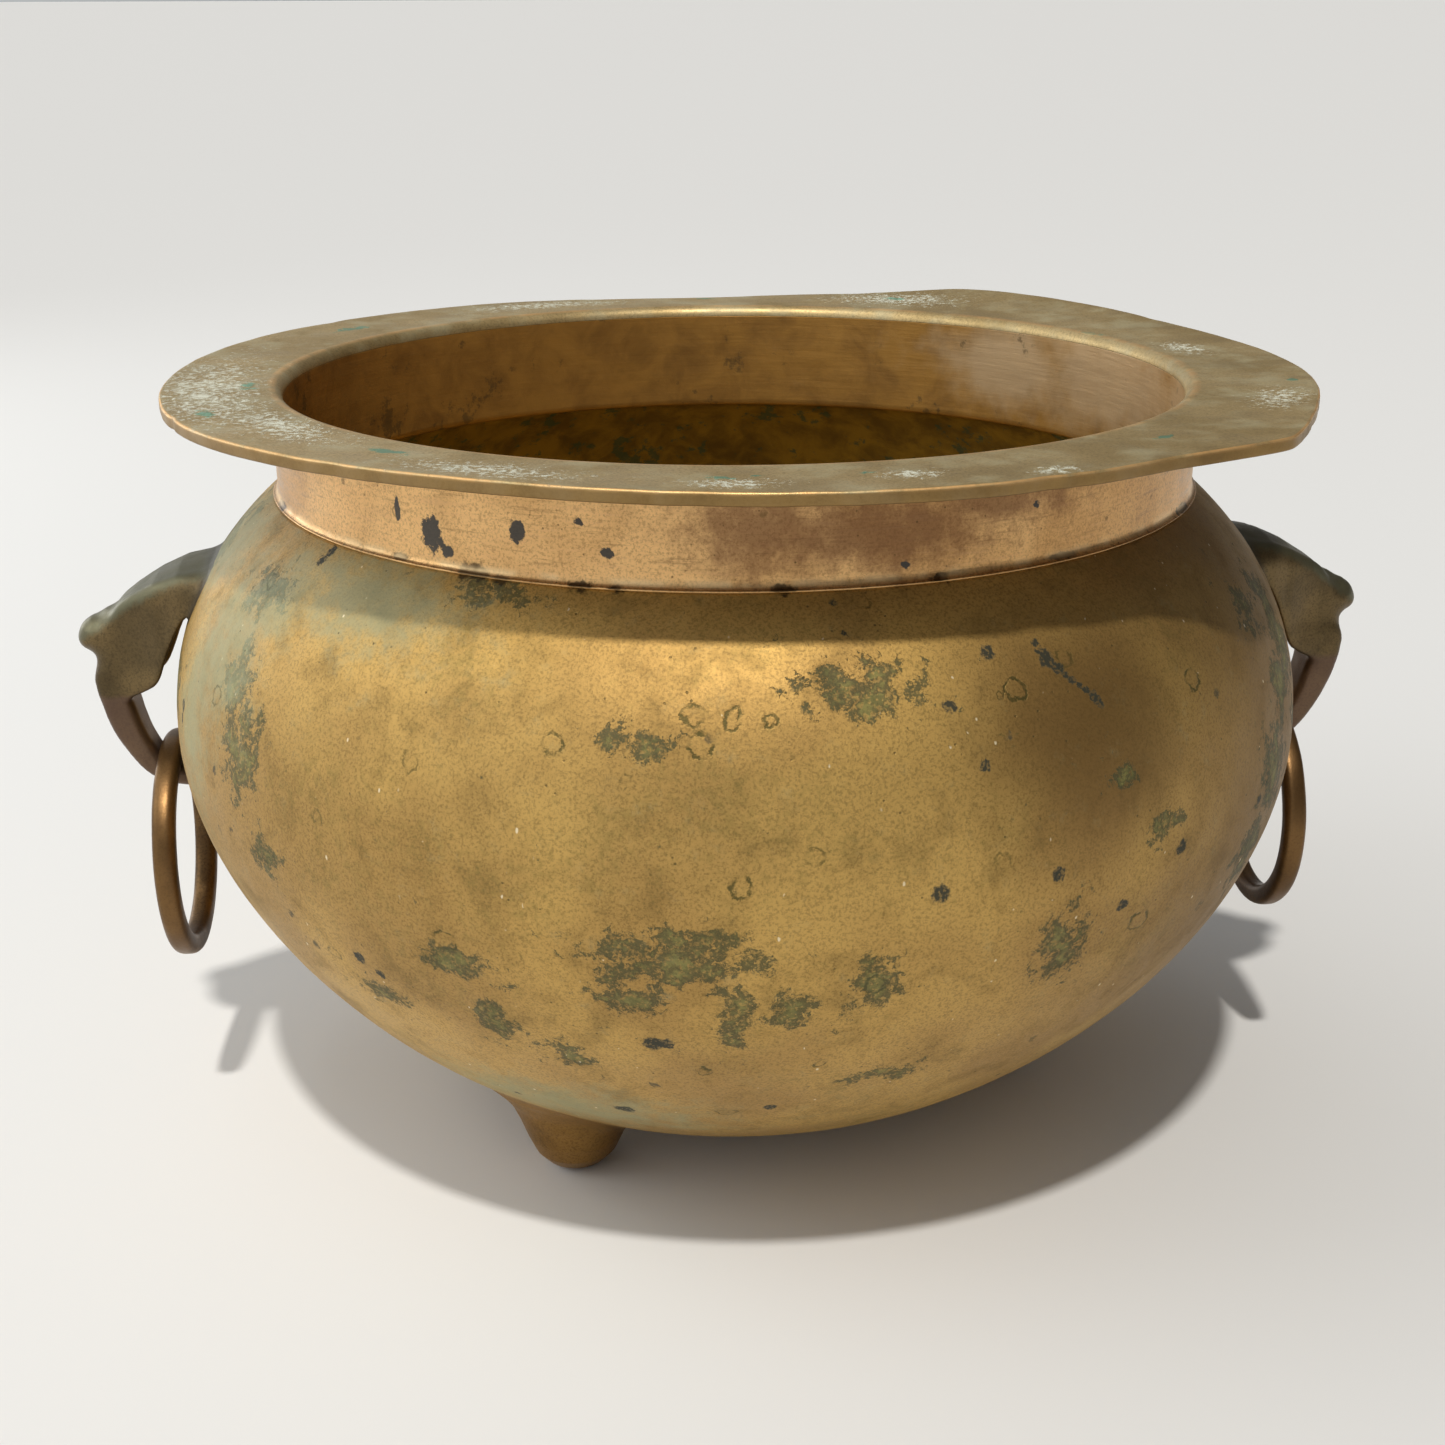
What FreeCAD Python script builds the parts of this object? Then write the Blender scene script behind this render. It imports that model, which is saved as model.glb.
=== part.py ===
import FreeCAD, Part
import math
import os

# A three-footed cast-brass bowl with a wide flat rim and two beast-head handles, each
# carrying a loose ring. Millimetres. The origin is on the floor on the bowl's axis,
# +Z is up and the two handles lie on the X axis.

# Bowl: belly, neck and rim
BELLY_RADIUS = 137.0
BELLY_HEIGHT = 103.6        # height of the widest circle
UPPER_RISE = 85.5           # half height of the upper oval
UPPER_POWER = 2.2           # 2 is an ellipse, more is squarer
LOWER_DROP = 108.5
LOWER_POWER = 1.794
BASE_JOIN_RADIUS = 76.0     # where the side turns into the shallow base
BASE_HEIGHT = 8.0           # underside of the flat base above the floor
WALL = 3.0
NECK_OUTER = 109.5
NECK_WALL = 2.8
NECK_BOTTOM = 155.4
RIM_TOP = 184.0
RIM_THICK = 2.8
RIM_RADIUS = 134.4
WIDE_RADIUS = 136.2         # the rim's wider side, over the right handle
FRONT_CORNER = (143.5, -44.0)   # radius and azimuth of the wide side's two corners
BACK_CORNER = (143.5, 56.0)
ROUND_FROM, ROUND_TO = 68.0, 304.0   # azimuths of the round part of the rim

# Feet
FOOT_AZIMUTH = -11.0        # of the right foot; the others are a third of a turn away
FOOT_TURNS = {"foot_right": 0, "foot_back": 120, "foot_front": 240}
FOOT_RADIUS = 67.5          # from the bowl's axis to a foot's tip
FOOT_SIDE = ((4.0, 0.0), (7.4, 1.6), (10.0, 4.4), (11.9, 8.6), (13.6, 13.5), (15.8, 18.5), (19.0, 24.0))
FOOT_TENON = 5.0
FOOT_HEAD = 8.5

# Handles, described for the one on +X as radius from the bowl's axis and height
HOOD_WALL = 2.8
HOOD_BOTTOM = 106.5
SNOUT_BOTTOM = 117.5
KNOB_BASE = (152.0, 122.6)           # radius and height
KNOB_BASE_RADIUS = 5.0
KNOB_TIP = (160.2, 121.6)
KNOB_TIP_ROUNDING = 2.4
GAP_TOP, GAP_BOTTOM = 137.0, 107.0  # heights of the slit between the cheeks and the belly
GAP_START, GAP_END = 0.8, 7.0       # its width at its top and at its bottom
TRUNK_WIDTH = 11.5
TRUNK_ROUNDING = 1.6
ROOT_TENON_HEIGHT = 137.0
ROOT_TENON = 3.5
TAIL_TENON_HEIGHT = 86.2
TAIL_TENON = 2.2
HEAD_THICK = 1.8

# Rings
RING_RADIUS = 26.0          # to the middle of the bar
RING_THICK = 5.3
RING_WIDTH = 5.6
RING_ROUNDING = 1.8
RING_PIVOT = (140.0, 93.5)  # middle of the bar where it passes through the trunk's loop

Z_AXIS = FreeCAD.Vector(0, 0, 1)
CENTRE = FreeCAD.Vector(0, 0, 0)
FAR = 200.0                 # larger than the bowl, for cutting tools


def at(radius, height, y=0.0):
    return FreeCAD.Vector(radius, y, height)


def on_circle(radius, azimuth, height=0.0):
    angle = math.radians(azimuth)
    return FreeCAD.Vector(radius * math.cos(angle), radius * math.sin(angle), height)


def spline(points):
    curve = Part.BSplineCurve()
    curve.interpolate(points)
    return curve.toShape()


def polyline(points):
    return Part.makePolygon(points).Edges


def revolve(edges, centre=CENTRE, axis=Z_AXIS):
    face = Part.Face(Part.Wire(Part.__sortEdges__(edges)))
    return face.revolve(centre, axis, 360)


def superellipse(angle, height_range, power):
    """Radius and height above the widest circle at an angle of a quarter superellipse."""
    exponent = 2.0 / power
    radius = BELLY_RADIUS * math.cos(angle) ** exponent
    return radius, height_range * math.sin(angle) ** exponent


# ---- Belly ----

def upper_angle(height):
    share = (height - BELLY_HEIGHT) / UPPER_RISE
    return math.asin(share ** (UPPER_POWER / 2.0))


def lower_angle(radius):
    return math.acos((radius / BELLY_RADIUS) ** (LOWER_POWER / 2.0))


def belly_points(steps=12):
    """The belly's outside from inside the neck's hole, down its side, to the flat base."""
    points = []
    top = upper_angle(BELLY_HEIGHT + 0.72 * UPPER_RISE)
    for i in range(steps, 0, -1):
        radius, rise = superellipse(top * i / steps, UPPER_RISE, UPPER_POWER)
        points.append((radius, BELLY_HEIGHT + rise))
    join = lower_angle(BASE_JOIN_RADIUS)
    for i in range(steps + 1):
        radius, drop = superellipse(join * i / steps, LOWER_DROP, LOWER_POWER)
        points.append((radius, BELLY_HEIGHT - drop))
    radius, height = points[-1]
    ratio = math.cos(join) / math.sin(join)
    slope = math.atan(LOWER_DROP / BELLY_RADIUS * ratio ** (2.0 - 2.0 / LOWER_POWER))
    bend = (height - BASE_HEIGHT) / (1 - math.cos(slope))
    flat_radius = radius - bend * math.sin(slope)
    for i in range(1, 5):
        turn = slope * (1 - i / 4.0)
        points.append((flat_radius + bend * math.sin(turn), BASE_HEIGHT + bend * (1 - math.cos(turn))))
    return points


def offset_inwards(points, distance):
    """The same outline moved square to itself towards the inside; its last point moves straight up."""
    moved = []
    for i, (radius, height) in enumerate(points):
        before = points[max(i - 1, 0)]
        after = points[min(i + 1, len(points) - 1)]
        along = (after[0] - before[0], after[1] - before[1])
        length = math.hypot(*along)
        moved.append((radius + distance * along[1] / length, height - distance * along[0] / length))
    moved[-1] = (points[-1][0], points[-1][1] + distance)
    return moved


def belly_solid():
    """The belly's outside, filled in, for fitting feet and handles against."""
    points = [at(*p) for p in belly_points()]
    top = at(0, points[0].z)
    bottom = at(0, BASE_HEIGHT)
    return revolve([spline(points)] + polyline([points[-1], bottom, top, points[0]]))


def belly_radius(height):
    if height >= BELLY_HEIGHT:
        share = (height - BELLY_HEIGHT) / UPPER_RISE
        return BELLY_RADIUS * (1 - share ** UPPER_POWER) ** (1 / UPPER_POWER)
    share = (BELLY_HEIGHT - height) / LOWER_DROP
    return BELLY_RADIUS * (1 - share ** LOWER_POWER) ** (1 / LOWER_POWER)


def wall_normal(height):
    """Outward direction square to the belly at a height, in the plane of the handles."""
    step = 0.05
    along = belly_radius(height + step) - belly_radius(height - step)
    return at(2 * step, -along).normalize()


def bowl_body(tenon_holes):
    outside = belly_points()
    inside = offset_inwards(outside, WALL)
    outer = [at(*p) for p in outside]
    inner = [at(*p) for p in inside]
    base = polyline([outer[-1], at(0, BASE_HEIGHT), at(0, BASE_HEIGHT + WALL), inner[-1]])
    mouth = polyline([inner[0], outer[0]])
    shell = revolve([spline(outer), spline(inner)] + base + mouth)
    neck_hole = Part.makeCylinder(NECK_OUTER, FAR, at(0, BELLY_HEIGHT))
    return shell.cut(neck_hole).cut(tenon_holes)


# ---- Neck and rim ----

def neck_collar():
    height = RIM_TOP - RIM_THICK - NECK_BOTTOM
    outer = Part.makeCylinder(NECK_OUTER, height, at(0, NECK_BOTTOM))
    return outer.cut(Part.makeCylinder(NECK_OUTER - NECK_WALL, height, at(0, NECK_BOTTOM)))


def rim_outline(height):
    """Round for two thirds of the way, wider and square-cornered over the right handle."""
    start = on_circle(RIM_RADIUS, ROUND_FROM, height)
    middle = on_circle(RIM_RADIUS, (ROUND_FROM + ROUND_TO) / 2, height)
    end = on_circle(RIM_RADIUS, ROUND_TO, height)
    front = on_circle(*FRONT_CORNER, height)
    back = on_circle(*BACK_CORNER, height)
    wide = on_circle(WIDE_RADIUS, 3.0, height)
    edges = [Part.Arc(start, middle, end).toShape(), Part.LineSegment(end, front).toShape(),
             Part.Arc(front, wide, back).toShape(), Part.LineSegment(back, start).toShape()]
    return Part.Wire(edges)


def rim_flange():
    bottom = RIM_TOP - RIM_THICK
    plate = Part.Face(rim_outline(bottom)).extrude(at(0, RIM_THICK))
    hole = NECK_OUTER - NECK_WALL
    lip = at(hole + RIM_THICK * (1 - math.sqrt(0.5)), bottom + RIM_THICK * math.sqrt(0.5))
    rounding = Part.Arc(at(hole, bottom), lip, at(hole + RIM_THICK, RIM_TOP)).toShape()
    below = polyline([at(hole + RIM_THICK, RIM_TOP), at(0, RIM_TOP), at(0, bottom), at(hole, bottom)])
    return plate.cut(revolve([rounding] + below))


# ---- Tenons: studs cast on a foot or handle, hammered over inside the bowl ----

def tenon(outside_point, outward, radius, head_radius, reach):
    """A stud through the wall from reach outside it, and its flattened head inside."""
    start = outside_point + outward * reach
    inward = outward * -1
    stud = Part.makeCylinder(radius, reach + WALL + HEAD_THICK, start, inward)
    head_start = outside_point + inward * (WALL - 0.5)
    head = Part.makeCylinder(head_radius, HEAD_THICK + 0.5, head_start, inward)
    hole = Part.makeCylinder(radius, WALL * 2, outside_point + outward * WALL / 2, inward)
    return stud.fuse(head), hole


def foot_tenon():
    angle = lower_angle(FOOT_RADIUS)
    height = BELLY_HEIGHT - superellipse(angle, LOWER_DROP, LOWER_POWER)[1]
    return tenon(on_circle(FOOT_RADIUS, FOOT_AZIMUTH, height), Z_AXIS * -1, FOOT_TENON, FOOT_HEAD, 4.0)


def handle_tenons():
    tenons = []
    for height, radius, reach in ((ROOT_TENON_HEIGHT, ROOT_TENON, 4.0), (TAIL_TENON_HEIGHT, TAIL_TENON, 3.0)):
        point = at(belly_radius(height), height)
        tenons.append(tenon(point, wall_normal(height), radius, radius * 1.9, reach))
    return tenons


# ---- Feet ----

def foot(belly, bowl):
    """A short round nub with a worn flat tip, widening to where it meets the belly."""
    side = [at(*point) for point in FOOT_SIDE]
    core = polyline([side[-1], at(0, side[-1].z), at(0, 0), side[0]])
    nub = revolve([spline(side)] + core)
    nub.translate(on_circle(FOOT_RADIUS, FOOT_AZIMUTH))
    return nub.cut(belly).fuse(foot_tenon()[0]).cut(bowl).removeSplitter()


# ---- Handles ----

def arch(radius, top, half_width, bottom):
    """An outline across the hood: upright cheeks under an arched roof."""
    spring = top - 0.5 * half_width
    crown = top + (top - spring) / 3.0
    roof = Part.BezierCurve()
    roof.setPoles([at(radius, spring, -half_width), at(radius, crown, -half_width),
                   at(radius, crown, half_width), at(radius, spring, half_width)])
    corners = [at(radius, spring, half_width), at(radius, bottom, half_width),
               at(radius, bottom, -half_width), at(radius, spring, -half_width)]
    return Part.Wire([roof.toShape()] + polyline(corners))


def knob():
    """The blunt cone with a round tip on the snout."""
    tip_radius, tip_height = KNOB_TIP
    tip_centre = at(tip_radius - KNOB_TIP_ROUNDING, tip_height)
    base = at(*KNOB_BASE)
    axis = tip_centre - base
    cone = Part.makeCone(KNOB_BASE_RADIUS, KNOB_TIP_ROUNDING, axis.Length, base, axis)
    return cone.fuse(Part.makeSphere(KNOB_TIP_ROUNDING, tip_centre))


def hood():
    """The head: a hollow tapering hood, open at the back and below, with a knob on its snout."""
    outer_stations = [(124.0, 142.5, 15.5, HOOD_BOTTOM), (134.0, 141.0, 14.5, HOOD_BOTTOM),
                      (142.0, 137.8, 12.5, HOOD_BOTTOM), (149.0, 133.2, 10.0, HOOD_BOTTOM),
                      (154.5, 128.2, 7.5, HOOD_BOTTOM + 1.0), (157.0, 124.5, 5.5, SNOUT_BOTTOM)]
    outer = Part.makeLoft([arch(*station) for station in outer_stations], True)
    inner_stations = []
    for radius, top, half_width, _ in outer_stations[:-1]:
        back = radius - HOOD_WALL * 0.6
        inner_stations.append((back, top - HOOD_WALL, half_width - HOOD_WALL, HOOD_BOTTOM - 8.0))
    inner = Part.makeLoft([arch(*station) for station in inner_stations], True)
    return outer.cut(inner).fuse(knob())


def cheek_clearance():
    """The belly, thickened downwards, so that the cheeks' back edges stand off it."""
    steps = 6
    side = []
    for i in range(steps + 1):
        height = GAP_TOP + (GAP_BOTTOM - GAP_TOP) * i / steps
        width = GAP_START + (GAP_END - GAP_START) * i / steps
        side.append(at(belly_radius(height) + width, height))
    foot_of_it = at(side[-1].x, HOOD_BOTTOM - 10.0)
    closing = polyline([side[-1], foot_of_it, at(0, foot_of_it.z), at(0, GAP_TOP), side[0]])
    return revolve([spline(side)] + closing)


def trunk():
    """The curled strap that runs from the snout back to the belly and carries the ring."""
    outer = [at(156.2, 111.0), at(155.6, 106.0), at(153.8, 100.0), at(151.0, 94.0),
             at(147.2, 88.6), at(142.5, 85.0), at(137.0, 83.6), at(131.0, 83.2)]
    inner = [at(131.0, 88.6), at(138.0, 88.8), at(142.0, 89.5), at(144.8, 92.0),
             at(146.0, 96.0), at(147.6, 101.0), at(150.5, 106.5), at(152.8, 111.0)]
    edges = [spline(outer), spline(inner)] + polyline([outer[-1], inner[0]]) + polyline([inner[-1], outer[0]])
    face = Part.Face(Part.Wire(Part.__sortEdges__(edges)))
    face.translate(at(0, 0, -TRUNK_WIDTH / 2))
    strap = face.extrude(at(0, 0, TRUNK_WIDTH))
    long_edges = [edge for edge in strap.Edges if edge.Length > 40.0]
    return strap.makeFillet(TRUNK_ROUNDING, long_edges)


def handle(belly, bowl):
    """The +X handle: hood, boss under its root, trunk, and the two studs through the wall."""
    root = at(belly_radius(ROOT_TENON_HEIGHT), ROOT_TENON_HEIGHT)
    boss = Part.makeCylinder(ROOT_TENON * 1.5, 4.5, root - wall_normal(ROOT_TENON_HEIGHT),
                             wall_normal(ROOT_TENON_HEIGHT))
    head = hood().cut(cheek_clearance())
    shape = head.fuse([trunk(), boss]).cut(belly)
    studs = [pair[0] for pair in handle_tenons()]
    return shape.fuse(studs).cut(bowl).removeSplitter()


# ---- Rings ----

def ring():
    """A round ring of flattened bar, hanging upright in the plane square to the handle's axis."""
    pivot_radius, pivot_height = RING_PIVOT
    centre = at(pivot_radius, pivot_height - RING_RADIUS)
    bar = Part.makeBox(RING_WIDTH, 1.0, RING_THICK,
                       at(pivot_radius - RING_WIDTH / 2, pivot_height - RING_THICK / 2))
    section = bar.makeFillet(RING_ROUNDING, [e for e in bar.Edges if abs(e.tangentAt(0).y) > 0.9])
    face = [f for f in section.Faces if abs(f.CenterOfMass.y) < 1e-6][0]
    return face.revolve(centre, FreeCAD.Vector(1, 0, 0), 360)


def turned(shape, degrees=180):
    """A copy turned about the bowl's axis; half a turn takes the right handle to the left."""
    copy = shape.copy()
    copy.rotate(CENTRE, Z_AXIS, degrees)
    return copy


def save(name, shape):
    solid = shape if shape.ShapeType == "Solid" else shape.Solids[0]
    print(name, "solids", len(shape.Solids), "valid", shape.isValid(), "cm3", round(solid.Volume / 1000, 2))
    solid.exportStep("parts/" + name + ".step")


def main():
    os.makedirs("parts", exist_ok=True)
    belly = belly_solid()
    right_holes = [pair[1] for pair in handle_tenons()]
    left_holes = [turned(hole) for hole in right_holes]
    foot_holes = [turned(foot_tenon()[1], degrees) for degrees in FOOT_TURNS.values()]
    bowl = bowl_body(right_holes + left_holes + foot_holes)
    save("bowl_body", bowl)
    save("neck_collar", neck_collar())
    save("rim_flange", rim_flange())
    right_foot = foot(belly, bowl)
    for name, degrees in FOOT_TURNS.items():
        save(name, turned(right_foot, degrees))
    right_handle = handle(belly, bowl)
    save("handle_right", right_handle)
    save("handle_left", turned(right_handle))
    save("ring_right", ring())
    save("ring_left", turned(ring()))


main()
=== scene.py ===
import math
import random

import bpy
import numpy as np
from mathutils import Matrix, Vector


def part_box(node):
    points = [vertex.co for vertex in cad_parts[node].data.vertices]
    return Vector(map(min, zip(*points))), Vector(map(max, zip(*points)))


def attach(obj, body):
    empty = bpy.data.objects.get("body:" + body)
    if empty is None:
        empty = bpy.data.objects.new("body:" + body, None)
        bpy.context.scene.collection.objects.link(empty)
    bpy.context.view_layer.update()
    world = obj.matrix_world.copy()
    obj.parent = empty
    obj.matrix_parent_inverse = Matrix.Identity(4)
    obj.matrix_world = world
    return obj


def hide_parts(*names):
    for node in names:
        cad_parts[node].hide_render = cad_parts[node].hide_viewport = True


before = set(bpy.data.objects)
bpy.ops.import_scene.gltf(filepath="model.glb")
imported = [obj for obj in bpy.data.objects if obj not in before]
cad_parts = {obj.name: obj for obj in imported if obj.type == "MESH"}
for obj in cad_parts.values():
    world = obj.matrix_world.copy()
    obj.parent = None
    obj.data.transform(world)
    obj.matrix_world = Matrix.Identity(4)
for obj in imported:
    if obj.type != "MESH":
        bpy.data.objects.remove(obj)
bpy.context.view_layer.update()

MM = 0.001


# ---- Sizes, in millimetres, read from the frame where it holds them ----

def box_mm(node):
    low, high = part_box(node)
    return np.array(low) / MM, np.array(high) / MM


body_low, body_high = box_mm("bowl_body")
collar_low, collar_high = box_mm("neck_collar")
rim_low, rim_high = box_mm("rim_flange")
ring_low, ring_high = box_mm("ring_right")

BELLY_RADIUS = body_high[1]
BELLY_HEIGHT = 103.6
UPPER_RISE, UPPER_POWER = 85.5, 2.2
LOWER_DROP, LOWER_POWER = 108.5, 1.794
BASE_JOIN_RADIUS = 76.0
BASE_HEIGHT = body_low[2]
WALL = 3.0
NECK_OUTER = collar_high[1]
NECK_WALL = 2.8
NECK_BOTTOM = collar_low[2]
RIM_TOP, RIM_BOTTOM = rim_high[2], rim_low[2]
RIM_RADIUS = -rim_low[0]
# The rim's outline where it isn't round: azimuth in degrees and radius
WIDE_SIDE = (
    (-56, 134.4), (-50, 138.0), (-44, 143.0), (-40, 141.2), (-34, 138.6), (-27, 136.8), (-16, 136.2),
    (12, 136.2), (22, 137.0), (35, 139.6), (44, 141.0), (56, 143.2), (61, 139.5), (68, 134.4),
)
FOOT_RADIUS, FOOT_AZIMUTH = 67.5, -11.0
FOOT_SIDE = ((4.0, 0.0), (7.4, 1.6), (10.0, 4.4), (11.9, 8.6), (13.6, 13.5), (15.8, 18.5), (19.0, 24.0))
RING_WIDTH = ring_high[0] - ring_low[0]
RING_CENTRE = (ring_low + ring_high) / 2
RING_THICK = 5.3
RING_RADIUS = (ring_high[2] - ring_low[2] - RING_THICK) / 2


# ---- Smooth noise on points, the same on every run ----

def lattice_values(ix, iy, iz, seed):
    mixed = (ix * 374761393 + iy * 668265263 + iz * 1103515245 + seed * 974634777) & 0xFFFFFFFF
    mixed = ((mixed ^ (mixed >> 13)) * 1274126177) & 0xFFFFFFFF
    return ((mixed ^ (mixed >> 16)) & 0xFFFF) / 32767.5 - 1.0


def noise(points, cell, seed):
    """Smooth noise from -1 to 1 whose lumps are about cell across."""
    scaled = points / cell
    base = np.floor(scaled).astype(np.int64)
    part = scaled - base
    part = part * part * (3 - 2 * part)
    total = np.zeros(len(points))
    for corner in range(8):
        step = np.array([corner & 1, corner >> 1 & 1, corner >> 2 & 1])
        weight = np.prod(np.where(step, part, 1 - part), axis=1)
        total += weight * lattice_values(*(base + step).T, seed)
    return total


def fractal(points, cell, seed, octaves=3):
    return sum(noise(points, cell / 2 ** i, seed + i) / 2 ** i for i in range(octaves))


# ---- Meshes ----

def add_mesh(name, points, faces, body, node, fields=None):
    """A smooth-shaded piece that stands for a CAD node. Points are in millimetres."""
    mesh = bpy.data.meshes.new(name)
    mesh.from_pydata((points * MM).tolist(), [], faces)
    mesh.polygons.foreach_set("use_smooth", [True] * len(mesh.polygons))
    for field, values in (fields or {}).items():
        layer = mesh.attributes.new(field, "FLOAT", "POINT")
        layer.data.foreach_set("value", np.clip(values, 0, 1).astype(np.float32))
    mesh.validate()
    piece = bpy.data.objects.new(name, mesh)
    bpy.context.scene.collection.objects.link(piece)
    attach(piece, body)
    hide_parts(node)
    return piece


def row_faces(pairs, columns):
    """Quads between pairs of rows whose columns run round."""
    faces = []
    for first, second in pairs:
        a, b = first * columns, second * columns
        for j in range(columns):
            k = (j + 1) % columns
            faces.append((a + j, b + j, b + k, a + k))
    return faces


def grid_faces(rows, columns, close_rows=True):
    """Quads of a grid whose columns run round; rows close too for a ring of section."""
    return row_faces([(i, (i + 1) % rows) for i in range(rows if close_rows else rows - 1)], columns)


def fan_faces(row, tip, columns, inwards=False):
    """Triangles from a row to the point that closes it."""
    start = row * columns
    edges = [(start + j, start + (j + 1) % columns) for j in range(columns)]
    return [(k, j, tip) if inwards else (j, k, tip) for j, k in edges]


def around(profile, azimuths):
    """Points of a profile (radius, height) turned about the bowl's axis, row by row."""
    radius, height = profile[:, 0][:, None], profile[:, 1][:, None]
    x, y = radius * np.cos(azimuths), radius * np.sin(azimuths)
    return np.stack([x, y, np.broadcast_to(height, x.shape)], axis=2).reshape(-1, 3)


def evenly(profile, count):
    """The same line with count points at even spacing."""
    steps = np.hypot(*np.diff(profile, axis=0).T)
    along = np.concatenate([[0], np.cumsum(steps)])
    at = np.linspace(0, along[-1], count)
    return np.stack([np.interp(at, along, profile[:, i]) for i in (0, 1)], axis=1)


def square_to(profile):
    """Unit vectors square to a profile, pointing away from the bowl's middle on its outside."""
    along = np.gradient(profile, axis=0)
    length = np.hypot(*along.T)[:, None]
    return np.stack([-along[:, 1], along[:, 0]], axis=1) / length


# ---- Belly ----

def belly_radius(height):
    above = np.clip((height - BELLY_HEIGHT) / UPPER_RISE, 0, 1)
    below = np.clip((BELLY_HEIGHT - height) / LOWER_DROP, 0, 1)
    upper = (1 - above ** UPPER_POWER) ** (1 / UPPER_POWER)
    lower = (1 - below ** LOWER_POWER) ** (1 / LOWER_POWER)
    return BELLY_RADIUS * upper * lower


def base_curve():
    """Radius of the flat base, and the bend's radius and angle that join it to the side."""
    share = (BASE_JOIN_RADIUS / BELLY_RADIUS) ** (LOWER_POWER / 2)
    join = math.acos(share)
    height = BELLY_HEIGHT - LOWER_DROP * math.sin(join) ** (2 / LOWER_POWER)
    ratio = (math.cos(join) / math.sin(join)) ** (2 - 2 / LOWER_POWER)
    slope = math.atan(LOWER_DROP / BELLY_RADIUS * ratio)
    bend = (height - BASE_HEIGHT) / (1 - math.cos(slope))
    return BASE_JOIN_RADIUS - bend * math.sin(slope), bend, slope, height


FLAT_RADIUS, BASE_BEND, BASE_SLOPE, JOIN_HEIGHT = base_curve()


def outside_profile():
    """The belly's outside, from the neck's hole down to the middle of the base."""
    share = 1 - (NECK_OUTER / BELLY_RADIUS) ** UPPER_POWER
    seam = BELLY_HEIGHT + UPPER_RISE * share ** (1 / UPPER_POWER)
    heights = np.linspace(seam, JOIN_HEIGHT, 400)
    side = np.stack([belly_radius(heights), heights], axis=1)
    turns = np.linspace(BASE_SLOPE, 0, 60)[1:]
    bend = np.stack([FLAT_RADIUS + BASE_BEND * np.sin(turns),
                     BASE_HEIGHT + BASE_BEND * (1 - np.cos(turns))], axis=1)
    flat = np.array([[FLAT_RADIUS * (1 - i / 20), BASE_HEIGHT] for i in range(1, 21)])
    return np.concatenate([side, bend, flat])


def underside(radius):
    """Height of the belly's outside below its widest circle, at a radius."""
    share = np.clip(radius / BELLY_RADIUS, 0, 1)
    side = BELLY_HEIGHT - LOWER_DROP * (1 - share ** LOWER_POWER) ** (1 / LOWER_POWER)
    out = np.clip(radius - FLAT_RADIUS, 0, BASE_JOIN_RADIUS - FLAT_RADIUS)
    bend = BASE_HEIGHT + BASE_BEND - np.sqrt(BASE_BEND ** 2 - out ** 2)
    return np.where(radius > BASE_JOIN_RADIUS, side, bend)


def belly_waviness(points):
    """How far the cast surface stands proud of the true shape: slow swells and small lumps."""
    return 0.28 * noise(points, 55, 11) + 0.10 * noise(points, 17, 12) + 0.035 * noise(points, 5, 13)


# Patches on the belly: azimuth in degrees, then height, half width and half height in millimetres
GREEN_MARKS = (
    (-147, 118, 8, 13), (-150, 130, 6, 7), (-101, 92, 17, 7), (-105, 81, 8, 4), (-91, 79, 6, 5),
    (-84, 84, 6, 7), (-121, 85, 9, 4), (-119, 70, 5, 7), (-80, 56, 8, 3), (-66, 86, 6, 9),
    (-85, 143, 12, 5), (-121, 157, 9, 3), (-104, 134, 7, 3), (-132, 69, 7, 3), (-61, 121, 4, 4),
    (-96, 76, 4, 10), (-112, 62, 5, 5), (-143, 96, 6, 5), (-152, 147, 9, 5), (-56, 108, 5, 4),
)
# Small dark marks, solid ones and ones with only their outline dark: azimuth, height and radius
DARK_SPOTS = (
    (-103.4, 69.0, 2.3), (-102.2, 69.3, 1.6), (-146.0, 157.5, 1.5), (-146.4, 155.8, 1.4), (-177, 83, 1.6),
    (-176.6, 79.5, 1.4), (-109, 41, 2.2), (-86, 157, 1.0), (-72, 147, 1.7), (-66.6, 147.4, 0.9),
    (-66.3, 145.6, 1.3), (-66.0, 144.2, 1.9), (-65.2, 142.6, 1.5), (-64.6, 141.2, 1.1), (-64.0, 140.0, 1.0),
    (-63.4, 138.9, 0.9), (-62.9, 137.8, 1.0), (-62.3, 136.7, 1.0), (-61.8, 135.4, 1.4), (-77, 139, 1.4),
    (-53, 101, 1.8), (-164, 116, 1.6), (-164.4, 112.8, 1.3), (-85.6, 152, 0.7), (-74.6, 128, 1.2),
    (-68, 104, 1.7), (-79, 104, 1.9), (-60, 92, 1.5), (-92, 45, 1.6), (-133, 78, 1.6), (-131, 75, 1.3),
)
OUTLINED_SPOTS = (
    (-70.2, 140.2, 2.3), (-49, 134, 2.5), (-99.5, 139.4, 2.0), (-98.8, 134.6, 2.4), (-96.0, 139.0, 1.8),
    (-93.0, 138.5, 1.1), (-111.5, 133.4, 1.9), (-105.0, 128.0, 1.2), (-84.0, 84.5, 2.2), (-121.5, 90, 2.4),
    (-99.0, 60.0, 1.4), (-88.0, 62.5, 1.3), (-95.5, 108, 2.0), (-57, 86, 2.6),
)
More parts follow.
